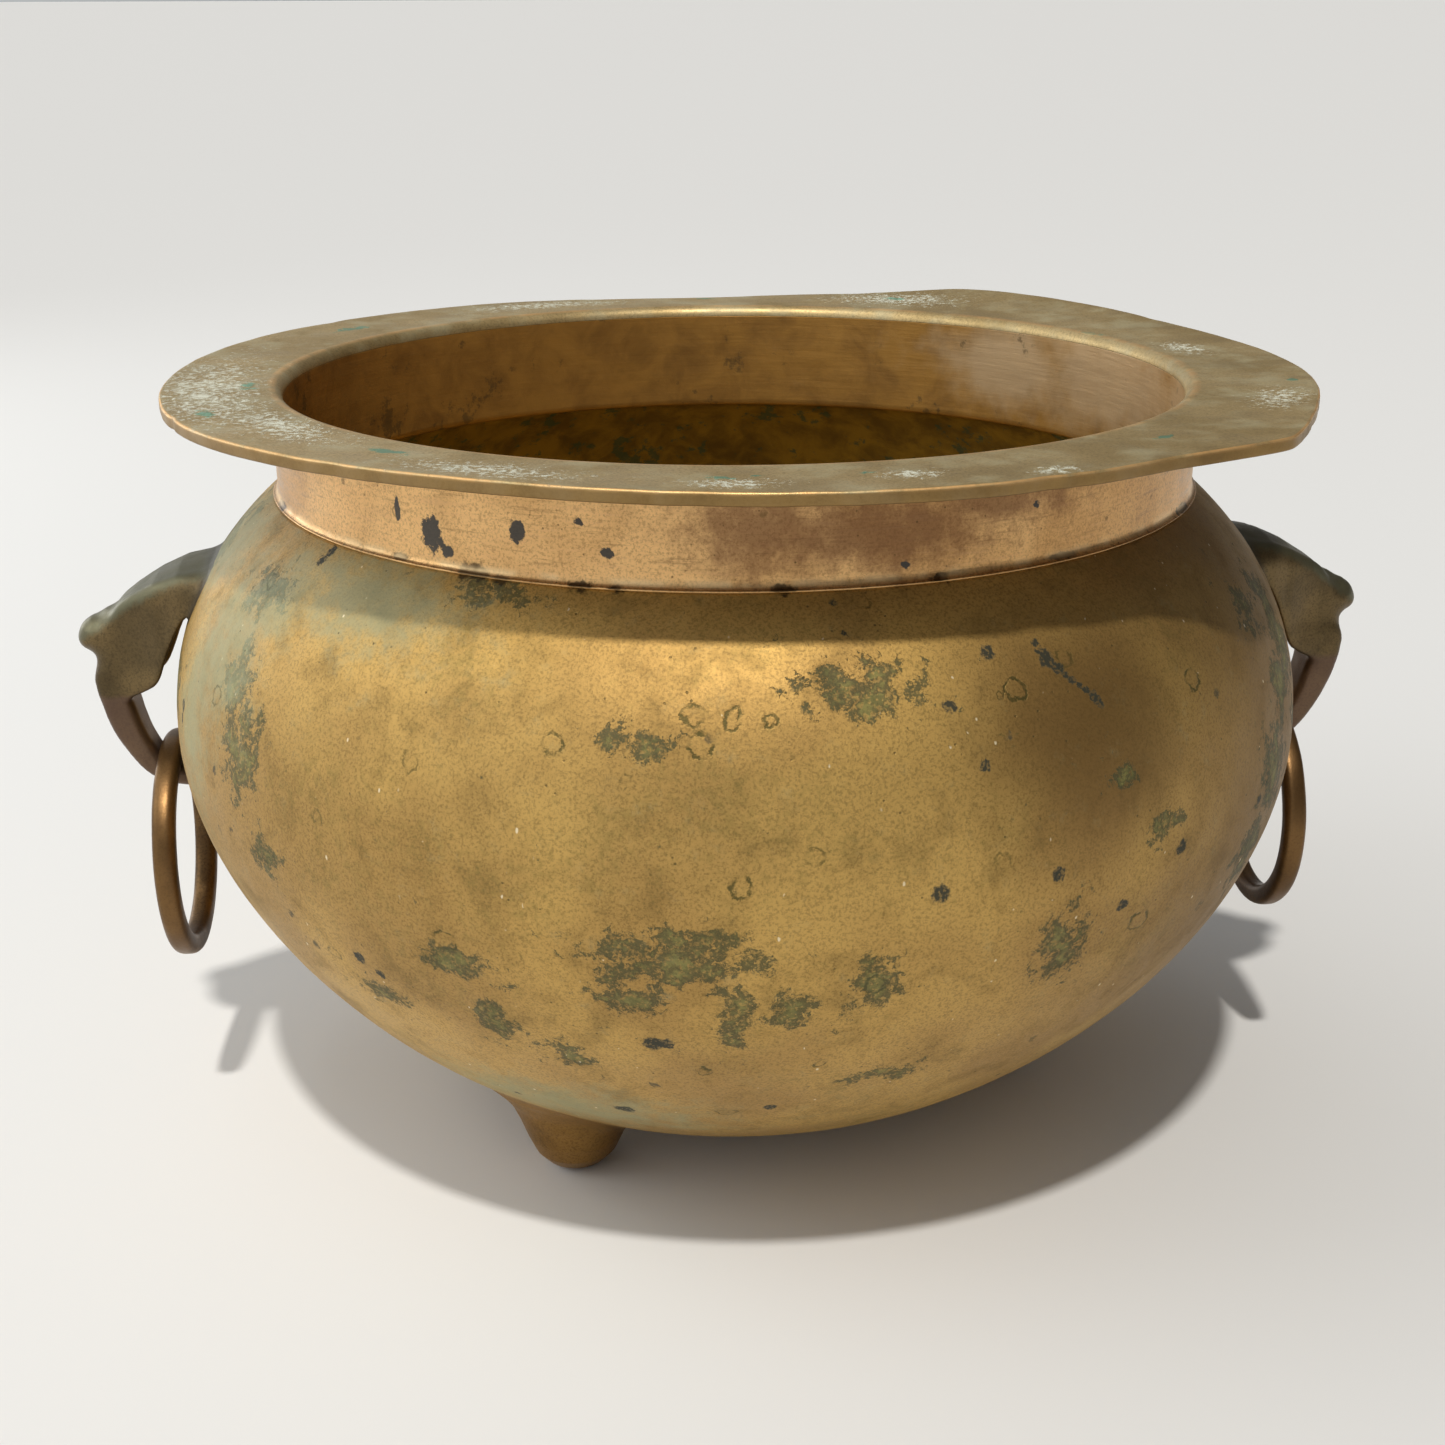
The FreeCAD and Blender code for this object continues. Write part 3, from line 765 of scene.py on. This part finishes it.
def loose_ring(name, side, seed, yaw=0.0, lean=0.0):
    """A ring of flattened bar with a closed joint, turned by yaw and leaning in by lean degrees."""
    columns, rows = 320, 40
    around_ring = np.linspace(0, 2 * math.pi, columns, endpoint=False)
    section = np.linspace(0, 2 * math.pi, rows, endpoint=False)
    across = RING_WIDTH / 2 * np.sign(np.cos(section)) * np.abs(np.cos(section)) ** RING_SECTION_POWER
    out = RING_THICK / 2 * np.sign(np.sin(section)) * np.abs(np.sin(section)) ** RING_SECTION_POWER
    from_joint = around_ring - math.radians(RING_JOINT)
    joint = 0.30 * np.exp(-(from_joint / 0.010) ** 2)
    points = []
    for a, o in zip(across, out):
        radius = RING_RADIUS + o * (1 - joint)
        points.append(np.stack([RING_CENTRE[0] + a * (1 - joint), radius * np.cos(around_ring),
                                RING_CENTRE[2] + radius * np.sin(around_ring)], axis=1))
    points = np.concatenate(points)
    centre_line = points - np.array([RING_CENTRE[0], 0, RING_CENTRE[2]])
    length = np.hypot(centre_line[:, 1], centre_line[:, 2])
    radial = centre_line / length[:, None]
    radial[:, 0] = 0
    wobble = 0.10 * noise(points, 9, seed) + 0.05 * noise(points, 3.5, seed + 1)
    points = points + radial * wobble[:, None]
    points[:, 0] += 0.08 * noise(points, 11, seed + 2)
    outer = np.clip((length - RING_RADIUS) / RING_THICK + 0.5, 0, 1)
    pivot = np.array([RING_CENTRE[0], 0, RING_CENTRE[2] + RING_RADIUS])
    tilt = Matrix.Rotation(math.radians(lean), 3, "Y") @ Matrix.Rotation(math.radians(yaw), 3, "Z")
    tilt = np.array(tilt)
    points = pivot + (points - pivot) @ tilt.T
    faces = grid_faces(rows, columns)
    if side < 0:
        points[:, :2] *= -1
    joint_field = np.tile(np.exp(-(from_joint / 0.016) ** 2), rows)
    fields = {"rub": outer, "joint": joint_field}
    return add_mesh(name + "_loop", points, faces, name, name, fields)


# ---- Materials ----

def linear(red, green, blue):
    """A display colour, 0 to 255, as the linear colour that shaders take."""
    values = [c / 255 for c in (red, green, blue)]
    return tuple(c / 12.92 if c <= 0.04045 else ((c + 0.055) / 1.055) ** 2.4 for c in values) + (1.0,)


class Finish:
    """A material made of nodes, with short calls for the nodes used here."""

    def __init__(self, name):
        self.material = bpy.data.materials.new(name)
        self.material.use_nodes = True
        self.tree = self.material.node_tree
        self.shader = self.tree.nodes["Principled BSDF"]
        self.place = self.tree.nodes.new("ShaderNodeTexCoord").outputs["Object"]

    def link(self, source, socket):
        if isinstance(source, bpy.types.NodeSocket):
            self.tree.links.new(source, socket)
        else:
            socket.default_value = source

    def stretched(self, factors):
        node = self.tree.nodes.new("ShaderNodeMapping")
        node.inputs["Scale"].default_value = factors
        self.link(self.place, node.inputs["Vector"])
        return node.outputs["Vector"]

    def vector_math(self, operation, a, b, output="Vector"):
        node = self.tree.nodes.new("ShaderNodeVectorMath")
        node.operation = operation
        self.link(a, node.inputs[0])
        self.link(b, node.inputs[1])
        return node.outputs[output]

    def stirred(self, size, reach_mm):
        """The place on the piece, moved about by up to reach_mm so that round marks turn ragged."""
        colours = self.noise(size, 4.0, 0.7, output="Color")
        centred = self.vector_math("SUBTRACT", colours, (0.5, 0.5, 0.5))
        reach = 4 * reach_mm * MM
        shift = self.vector_math("MULTIPLY", centred, (reach, reach, reach))
        return self.vector_math("ADD", self.place, shift)

    def noise(self, size, detail=3.0, rough=0.55, place=None, distortion=0.0, output="Fac"):
        """Noise from 0 to 1 with lumps about size millimetres across."""
        node = self.tree.nodes.new("ShaderNodeTexNoise")
        self.link(place or self.place, node.inputs["Vector"])
        node.inputs["Scale"].default_value = 1 / (size * MM)
        node.inputs["Detail"].default_value = detail
        node.inputs["Roughness"].default_value = rough
        node.inputs["Distortion"].default_value = distortion
        return node.outputs[output]

    def cells(self, size, place=None):
        """Distance to the nearest of many scattered points, as a share of size millimetres."""
        node = self.tree.nodes.new("ShaderNodeTexVoronoi")
        self.link(place or self.place, node.inputs["Vector"])
        node.inputs["Scale"].default_value = 1 / (size * MM)
        return node.outputs["Distance"]

    def field(self, name):
        node = self.tree.nodes.new("ShaderNodeAttribute")
        node.attribute_name = name
        return node.outputs["Fac"]

    def math(self, operation, a, b=0.0):
        node = self.tree.nodes.new("ShaderNodeMath")
        node.operation = operation
        self.link(a, node.inputs[0])
        self.link(b, node.inputs[1])
        return node.outputs[0]

    def times(self, a, b):
        return self.math("MULTIPLY", a, b)

    def plus(self, a, b):
        return self.math("ADD", a, b)

    def minus(self, a, b):
        return self.math("SUBTRACT", a, b)

    def larger(self, a, b):
        return self.math("MAXIMUM", a, b)

    def band(self, value, low, high, to_low=0.0, to_high=1.0):
        """Smoothly from to_low to to_high as value goes from low to high."""
        node = self.tree.nodes.new("ShaderNodeMapRange")
        node.interpolation_type = "SMOOTHSTEP"
        self.link(value, node.inputs["Value"])
        ends = {"From Min": low, "From Max": high, "To Min": to_low, "To Max": to_high}
        for socket, number in ends.items():
            node.inputs[socket].default_value = number
        return node.outputs["Result"]

    def mix(self, share, a, b):
        node = self.tree.nodes.new("ShaderNodeMix")
        node.data_type = "RGBA"
        self.link(share, node.inputs["Factor"])
        self.link(a, node.inputs[6])
        self.link(b, node.inputs[7])
        return node.outputs[2]

    def coat(self, colour, mask, share, tone):
        """A colour with a display tone laid on where the mask is, as much as share."""
        return self.mix(self.times(mask, share), colour, linear(*tone))

    def rough_edge(self, field, grain, low, high, strength=0.8):
        """A painted field with its edge broken up by noise, as a mask."""
        shifted = self.plus(field, self.times(self.minus(grain, 0.5), strength))
        return self.band(shifted, low, high)

    def spots(self, places, stirred, outlined=False):
        """A mask of round marks at (point, radius) places, solid or only their outline."""
        mask = None
        for point, radius in places:
            away = self.vector_math("DISTANCE", stirred, tuple(point * MM), "Value")
            if outlined:
                away = self.math("ABSOLUTE", self.minus(away, radius * MM))
                one = self.band(away, 0.15 * MM, 0.55 * MM, 1.0, 0.0)
            else:
                one = self.band(away, 0.8 * radius * MM, 1.15 * radius * MM, 1.0, 0.0)
            mask = one if mask is None else self.larger(mask, one)
        return mask

    def stain_outlines(self, size, place, sharp, soft):
        """The outlines of small round stains, scattered about size millimetres apart."""
        away = self.math("ABSOLUTE", self.minus(self.cells(size, place), 0.085))
        return self.band(away, sharp, soft, 1.0, 0.0)

    def pits(self, size, edge, patches, low, high):
        """Small pits, only where a slow noise is high."""
        return self.times(self.band(self.cells(size), 0.06, edge, 1.0, 0.0), self.band(patches, low, high))

    def surface(self, colour, metallic, roughness, height, relief_mm):
        self.link(colour, self.shader.inputs["Base Color"])
        self.link(metallic, self.shader.inputs["Metallic"])
        self.link(roughness, self.shader.inputs["Roughness"])
        bump = self.tree.nodes.new("ShaderNodeBump")
        bump.inputs["Strength"].default_value = 1.0
        bump.inputs["Distance"].default_value = relief_mm * MM
        self.link(height, bump.inputs["Height"])
        self.link(bump.outputs["Normal"], self.shader.inputs["Normal"])
        return self.material


def on_belly(spots):
    """(point, radius) of each (azimuth, height, radius) spot on the belly."""
    places = []
    for azimuth, height, radius in spots:
        out = belly_radius(np.array([height]))[0]
        angle = math.radians(azimuth)
        places.append((np.array([out * math.cos(angle), out * math.sin(angle), height]), radius))
    return places


def mottled_brass(finish, tones, patch=42.0, mottling=0.45):
    """Three tones of old brass: slow patches, cloudy mottling and a fine grain."""
    bright, middle, deep = (linear(*tone) for tone in tones)
    slow = finish.noise(patch, 2.0, 0.5)
    cloud = finish.noise(11.0, 5.0, 0.62, distortion=0.4)
    grain = finish.noise(0.62, 3.0, 0.75)
    colour = finish.mix(finish.band(slow, 0.38, 0.62), middle, bright)
    colour = finish.mix(finish.band(cloud, 0.48, 0.78, 0.0, mottling), colour, deep)
    colour = finish.mix(finish.band(grain, 0.46, 0.64, 0.0, 0.45), colour, deep)
    colour = finish.mix(finish.band(grain, 0.44, 0.32, 0.0, 0.25), colour, bright)
    return colour, cloud, grain


def belly_finish():
    f = Finish("belly_patina")
    colour, cloud, grain = mottled_brass(f, ((200, 163, 92), (178, 142, 80), (98, 80, 42)))
    fine = f.noise(2.2, 4.0, 0.65)
    small_stir = f.stirred(1.8, 0.8)
    mid_stir = f.stirred(4.5, 1.3)
    wide_stir = f.stirred(7.0, 2.2)
    olive = f.rough_edge(f.noise(34.0, 3.0, 0.6), f.noise(2.4, 5.0, 0.75), 0.50, 0.95, 1.5)
    colour = f.coat(colour, olive, 0.42, (126, 112, 58))
    patch_grain = f.noise(5.0, 6.0, 0.72, wide_stir)
    # Partly patina and partly painted shade: the right side is darkened and made browner
    browned_and_shaded = f.band(f.plus(f.field("brown_and_shade"), f.times(f.noise(16.0, 3.0, 0.6), 0.3)), 0.35, 1.15)
    colour = f.coat(colour, browned_and_shaded, 0.72, (112, 84, 44))
    green_mask = f.rough_edge(f.field("green"), patch_grain, 0.52, 0.66, 3.2)
    green_mask = f.times(green_mask, f.band(f.noise(0.9, 2.0, 0.6), 0.34, 0.5, 0.35, 1.0))
    green_core = f.rough_edge(f.field("green"), patch_grain, 0.80, 1.15, 3.2)
    green = f.mix(f.band(fine, 0.4, 0.6), linear(120, 120, 60), linear(82, 90, 42))
    green = f.mix(green_core, linear(50, 58, 26), green)
    scraps = f.rough_edge(f.noise(20.0, 2.0, 0.5), f.noise(1.5, 4.0, 0.7, small_stir), 0.86, 0.98, 1.6)
    colour = f.coat(colour, scraps, 0.6, (92, 88, 48))
    colour = f.mix(f.times(green_mask, 0.80), colour, green)
    # Partly a real grey-green film and partly painted sheen: lighter grey-green on the left shoulder and low
    # at the front
    film_and_sheen_mask = f.rough_edge(f.field("pale_film_and_sheen"), f.noise(6.0, 7.0, 0.75), 0.1, 1.1, 2.2)
    colour = f.coat(colour, film_and_sheen_mask, 0.68, (152, 154, 118))
    random_spots = f.cells(17.0, small_stir)
    few = f.band(f.noise(24.0, 2.0), 0.50, 0.56)
    dots = f.times(f.band(random_spots, 0.055, 0.085, 1.0, 0.0), few)
    rings = f.stain_outlines(23.0, mid_stir, 0.004, 0.020)
    outlines = f.larger(f.spots(on_belly(OUTLINED_SPOTS), mid_stir, True), f.times(rings, 0.7))
    outlines = f.times(outlines, f.band(f.noise(2.6, 3.0), 0.38, 0.56, 0.15, 1.0))
    colour = f.coat(colour, outlines, 0.8, (70, 68, 32))
    dark_mask = f.larger(f.spots(on_belly(DARK_SPOTS), small_stir), f.times(dots, 0.8))
    dark_mask = f.times(dark_mask, f.band(f.noise(0.8, 2.0, 0.6), 0.36, 0.5, 0.55, 1.0))
    colour = f.coat(colour, dark_mask, 0.95, (30, 36, 24))
    pits = f.pits(2.7, 0.13, f.noise(9.0, 2.0), 0.50, 0.62)
    colour = f.coat(colour, pits, 0.7, (74, 66, 36))
    dirt = f.rough_edge(f.field("dirt"), fine, 0.45, 0.8, 1.6)
    colour = f.coat(colour, dirt, 0.85, (40, 34, 24))
    lint = f.band(f.cells(2.9, f.stretched((1.0, 1.0, 0.45))), 0.08, 0.12, 1.0, 0.0)
    lint = f.times(lint, f.band(f.noise(3.4, 1.0), 0.60, 0.64))
    colour = f.coat(colour, lint, 0.8, (240, 226, 190))
    within = f.field("inside")
    verdigris = f.rough_edge(f.noise(30.0, 3.0, 0.6), f.noise(5.0, 4.0, 0.7), 0.60, 0.72, 1.2)
    inner_colour = f.mix(f.band(cloud, 0.35, 0.65), linear(176, 140, 48), linear(126, 98, 34))
    inner_colour = f.coat(inner_colour, verdigris, 0.75, (66, 96, 74))
    colour = f.mix(within, colour, inner_colour)
    dull = f.larger(f.times(green_mask, 0.55), f.times(dark_mask, 0.8))
    dull = f.larger(dull, f.times(film_and_sheen_mask, 0.4))
    dull = f.larger(dull, f.times(within, 0.6))
    metallic = f.minus(0.70, dull)
    roughness = f.plus(f.band(cloud, 0.35, 0.7, 0.50, 0.60), f.times(dull, 0.2))
    height = f.minus(f.plus(grain, f.times(fine, 0.6)), f.times(pits, 1.5))
    height = f.minus(height, f.times(outlines, 1.2))
    height = f.plus(height, f.times(green_mask, 0.8))
    return f.surface(colour, metallic, roughness, height, 0.05)


def neck_finish():
    f = Finish("neck_patina")
    tones = ((236, 190, 128), (206, 160, 102), (126, 94, 56))
    colour, cloud, grain = mottled_brass(f, tones, 30.0, 0.3)
    streaks = f.noise(0.9, 3.0, 0.7, f.stretched((0.06, 0.06, 1.0)))
    colour = f.mix(f.band(streaks, 0.5, 0.72, 0.0, 0.4), colour, linear(226, 180, 128))
    colour = f.mix(f.band(streaks, 0.46, 0.3, 0.0, 0.35), colour, linear(112, 82, 52))
    red = f.rough_edge(f.field("red"), f.noise(5.0, 6.0, 0.72), 0.10, 1.0, 1.6)
    colour = f.coat(colour, red, 0.74, (112, 74, 48))
    dark_mask = f.rough_edge(f.field("dark"), f.noise(1.6, 4.0, 0.7), 0.42, 0.54, 1.1)
    colour = f.coat(colour, dark_mask, 0.94, (40, 42, 38))
    rings = f.stain_outlines(12.0, f.stirred(2.0, 0.4), 0.008, 0.03)
    colour = f.coat(colour, rings, 0.5, (96, 74, 40))
    pits = f.pits(2.4, 0.12, f.noise(4.0, 2.0), 0.5, 0.58)
    colour = f.coat(colour, pits, 0.75, (84, 64, 38))
    dirt = f.rough_edge(f.field("dirt"), f.noise(2.0, 4.0, 0.7), 0.45, 0.75, 1.2)
    colour = f.coat(colour, dirt, 0.85, (44, 36, 28))
    # Painted highlight: a light line along the cove above the seam
    edge = f.times(f.field("edge"), f.band(f.noise(7.0, 2.0), 0.4, 0.6))
    colour = f.coat(colour, edge, 0.6, (236, 204, 152))
    inner = f.mix(f.band(cloud, 0.35, 0.8), linear(190, 142, 70), linear(150, 110, 56))
    # Painted light: a lighter patch on the inner wall where light falls on it
    painted_inner_light = f.rough_edge(f.field("painted_inner_light"), f.noise(10.0, 5.0, 0.6), 0.1, 0.9, 1.0)
    inner = f.coat(inner, painted_inner_light, 0.8, (226, 196, 152))
    blots = f.rough_edge(f.noise(18.0, 2.0, 0.5), f.noise(4.0, 4.0, 0.7), 0.62, 0.72, 0.8)
    inner = f.coat(inner, blots, 0.6, (92, 78, 52))
    colour = f.mix(f.field("inside"), colour, inner)
    roughness = f.band(streaks, 0.3, 0.7, 0.32, 0.44)
    height = f.plus(f.times(streaks, 1.2), f.times(grain, 0.5))
    dull = f.plus(f.times(dark_mask, 0.8), f.times(f.field("inside"), 0.35))
    return f.surface(colour, f.minus(0.86, dull), roughness, height, 0.04)


def rim_finish():
    f = Finish("rim_patina")
    colour, cloud, grain = mottled_brass(f, ((206, 180, 128), (186, 160, 108), (128, 108, 72)), 34.0)
    film = f.band(f.noise(12.0, 4.0, 0.6), 0.42, 0.7, 0.0, 0.5)
    colour = f.mix(film, colour, linear(184, 178, 144))
    density = f.field("crust")
    speckle = f.noise(1.5, 5.0, 0.8, f.stirred(4.0, 1.0))
    crust = f.rough_edge(f.times(density, 0.74), speckle, 0.60, 0.80, 2.8)
    colour = f.coat(colour, crust, 0.85, (222, 224, 206))
    teal = f.rough_edge(f.field("teal"), f.noise(3.0, 5.0, 0.75), 0.62, 0.84, 2.4)
    colour = f.coat(colour, teal, 0.8, (104, 160, 132))
    wall = f.field("edge_wall")
    wall_colour = f.mix(cloud, linear(150, 116, 62), linear(112, 86, 48))
    colour = f.mix(f.times(wall, 0.85), colour, wall_colour)
    # Painted highlight on the arrises of the outer edge and the inner lip
    bright = f.times(f.field("bright"), f.band(f.noise(9.0, 3.0, 0.7), 0.3, 0.62))
    colour = f.coat(colour, bright, 0.85, (236, 186, 122))
    # Painted shade: the plate's underside is given dark tones
    under = f.mix(cloud, linear(128, 96, 54), linear(86, 66, 40))
    colour = f.mix(f.field("under"), colour, under)
    dull = f.plus(f.times(crust, 0.5), f.times(film, 0.5))
    metallic = f.minus(0.76, dull)
    roughness = f.plus(f.band(cloud, 0.35, 0.7, 0.42, 0.55), f.times(crust, 0.2))
    height = f.plus(f.times(grain, 0.8), f.times(f.larger(crust, teal), 1.8))
    return f.surface(colour, metallic, roughness, height, 0.05)


def foot_finish():
    f = Finish("foot_patina")
    colour, cloud, grain = mottled_brass(f, ((168, 128, 68), (140, 104, 52), (80, 60, 30)), 20.0)
    colour = f.coat(colour, f.field("root"), 0.5, (170, 130, 66))
    roughness = f.band(cloud, 0.35, 0.7, 0.38, 0.52)
    return f.surface(colour, 0.84, roughness, grain, 0.04)


def handle_finish():
    f = Finish("handle_patina")
    colour, cloud, grain = mottled_brass(f, ((118, 98, 64), (96, 80, 52), (58, 48, 32)), 18.0)
    crown = f.rough_edge(f.field("crown"), f.noise(4.0, 4.0, 0.65), 0.4, 0.9, 0.8)
    colour = f.coat(colour, crown, 0.75, (102, 102, 80))
    trunk = f.rough_edge(f.field("trunk"), f.noise(4.0, 3.0, 0.6), 0.25, 0.8, 0.5)
    colour = f.coat(colour, trunk, 0.62, (104, 80, 70))
    # Painted shade in the gap between handle and belly
    crevice_shade = f.field("crevice_shade")
    colour = f.coat(colour, crevice_shade, 0.6, (52, 44, 30))
    roughness = f.band(cloud, 0.35, 0.7, 0.36, 0.50)
    return f.surface(colour, 0.78, roughness, f.plus(grain, cloud), 0.05)


def ring_finish():
    f = Finish("ring_patina")
    colour, cloud, grain = mottled_brass(f, ((112, 84, 50), (88, 64, 38), (52, 40, 26)), 14.0)
    rub = f.rough_edge(f.field("rub"), f.noise(5.0, 4.0, 0.65), 0.55, 1.05, 0.7)
    colour = f.coat(colour, rub, 0.4, (136, 102, 60))
    colour = f.coat(colour, f.field("joint"), 0.8, (40, 34, 26))
    roughness = f.band(cloud, 0.35, 0.7, 0.34, 0.46)
    return f.surface(colour, 0.8, roughness, f.plus(grain, cloud), 0.04)


# ---- Studio: floor, lights and camera ----

FLOOR_HALF = 300.0


def studio_floor():
    mesh = bpy.data.meshes.new("floor")
    corners = [(-FLOOR_HALF, -FLOOR_HALF, 0), (FLOOR_HALF, -FLOOR_HALF, 0), (FLOOR_HALF, FLOOR_HALF, 0),
               (-FLOOR_HALF, FLOOR_HALF, 0)]
    mesh.from_pydata(corners, [], [(0, 1, 2, 3)])
    floor = bpy.data.objects.new("floor", mesh)
    bpy.context.scene.collection.objects.link(floor)
    material = bpy.data.materials.new("pale_floor")
    material.use_nodes = True
    shader = material.node_tree.nodes["Principled BSDF"]
    shader.inputs["Base Color"].default_value = (0.78, 0.78, 0.77, 1)
    shader.inputs["Roughness"].default_value = 0.8
    shader.inputs["Specular IOR Level"].default_value = 0.1
    mesh.materials.append(material)


def area_light(name, azimuth, elevation, distance, size, power, colour=(1, 1, 1)):
    """A square soft light that looks at the bowl's middle. Azimuth 0 is +X, 90 is +Y."""
    data = bpy.data.lights.new(name, "AREA")
    data.size = size
    data.energy = power
    data.color = colour
    light = bpy.data.objects.new(name, data)
    bpy.context.scene.collection.objects.link(light)
    a, e = math.radians(azimuth), math.radians(elevation)
    direction = Vector((math.cos(a) * math.cos(e), math.sin(a) * math.cos(e), math.sin(e)))
    middle = Vector((0, 0, BELLY_HEIGHT * MM))
    light.location = middle + direction * distance
    light.rotation_euler = direction.to_track_quat("Z", "Y").to_euler()


def key_light():
    """A broad even light from high in front, soft at its shadows' edges."""
    data = bpy.data.lights.new("key", "SUN")
    data.energy = 2.0
    data.angle = math.radians(3.0)
    data.color = (1.0, 0.96, 0.90)
    light = bpy.data.objects.new("key", data)
    bpy.context.scene.collection.objects.link(light)
    a, e = math.radians(-101), math.radians(63)
    direction = Vector((math.cos(a) * math.cos(e), math.sin(a) * math.cos(e), math.sin(e)))
    light.rotation_euler = direction.to_track_quat("Z", "Y").to_euler()


def lights():
    key_light()
    area_light("window_left", -174, 34, 1.3, 0.7, 3, (0.95, 0.98, 1.0))
    area_light("window_back_left", 140, 12, 1.4, 0.6, 2.5, (0.96, 0.99, 1.0))
    world = bpy.data.worlds.new("soft_room")
    bpy.context.scene.world = world
    world.use_nodes = True
    nodes = world.node_tree.nodes
    links = world.node_tree.links
    background = nodes["Background"]
    background.inputs["Strength"].default_value = 1.0
    place = nodes.new("ShaderNodeTexCoord")
    split = nodes.new("ShaderNodeSeparateXYZ")
    links.new(place.outputs["Generated"], split.inputs[0])
    across = nodes.new("ShaderNodeMapRange")
    across.interpolation_type = "SMOOTHSTEP"
    for socket, number in zip(("From Min", "From Max"), (-0.9, 0.5)):
        across.inputs[socket].default_value = number
    links.new(split.outputs["X"], across.inputs["Value"])
    mix = nodes.new("ShaderNodeMix")
    mix.data_type = "RGBA"
    mix.inputs[6].default_value = (0.80, 0.83, 0.86, 1)
    mix.inputs[7].default_value = (0.12, 0.115, 0.11, 1)
    links.new(across.outputs["Result"], mix.inputs["Factor"])
    links.new(mix.outputs[2], background.inputs["Color"])


CAMERA_AZIMUTH = -6.0
CAMERA_DISTANCE = 0.501     # from the bowl's axis, along the floor
CAMERA_HEIGHT = 0.2686
CAMERA_PITCH = 19.244
CAMERA_YAW = -0.339
CAMERA_ROLL = -0.2325
CAMERA_LENS = 51.78


def camera():
    data = bpy.data.cameras.new("camera")
    data.sensor_width = 36.0
    data.lens = CAMERA_LENS
    data.clip_start = 0.01
    data.clip_end = 1000.0
    eye = bpy.data.objects.new("camera", data)
    bpy.context.scene.collection.objects.link(eye)
    azimuth = math.radians(CAMERA_AZIMUTH)
    eye.location = (math.sin(azimuth) * CAMERA_DISTANCE, -math.cos(azimuth) * CAMERA_DISTANCE,
                    CAMERA_HEIGHT)
    look = (Matrix.Rotation(azimuth - math.radians(CAMERA_YAW), 3, "Z")
            @ Matrix.Rotation(math.radians(90 - CAMERA_PITCH), 3, "X")
            @ Matrix.Rotation(math.radians(CAMERA_ROLL), 3, "Z"))
    eye.rotation_euler = look.to_euler()
    bpy.context.scene.camera = eye


def main():
    bpy.context.scene.view_settings.view_transform = "Standard"
    camera()
    lights()
    studio_floor()
    finishes = [(belly(), belly_finish()), (neck(), neck_finish()), (rim(), rim_finish())]
    foot_material = foot_finish()
    for name, turn, seed in (("foot_right", 0, 61), ("foot_back", 120, 63), ("foot_front", 240, 65)):
        finishes.append((foot(name, FOOT_AZIMUTH + turn, seed), foot_material))
    handle_material, ring_material = handle_finish(), ring_finish()
    for side, degrees, sign, seed in (("right", 0, 1, 71), ("left", 180, -1, 75)):
        finishes.append((handle("handle_" + side, degrees, seed), handle_material))
        yaw, lean = (0.0, 0.0) if sign > 0 else (-2.0, 1.0)
        finishes.append((loose_ring("ring_" + side, sign, seed + 10, yaw, lean), ring_material))
    for piece, material in finishes:
        piece.data.materials.append(material)


main()
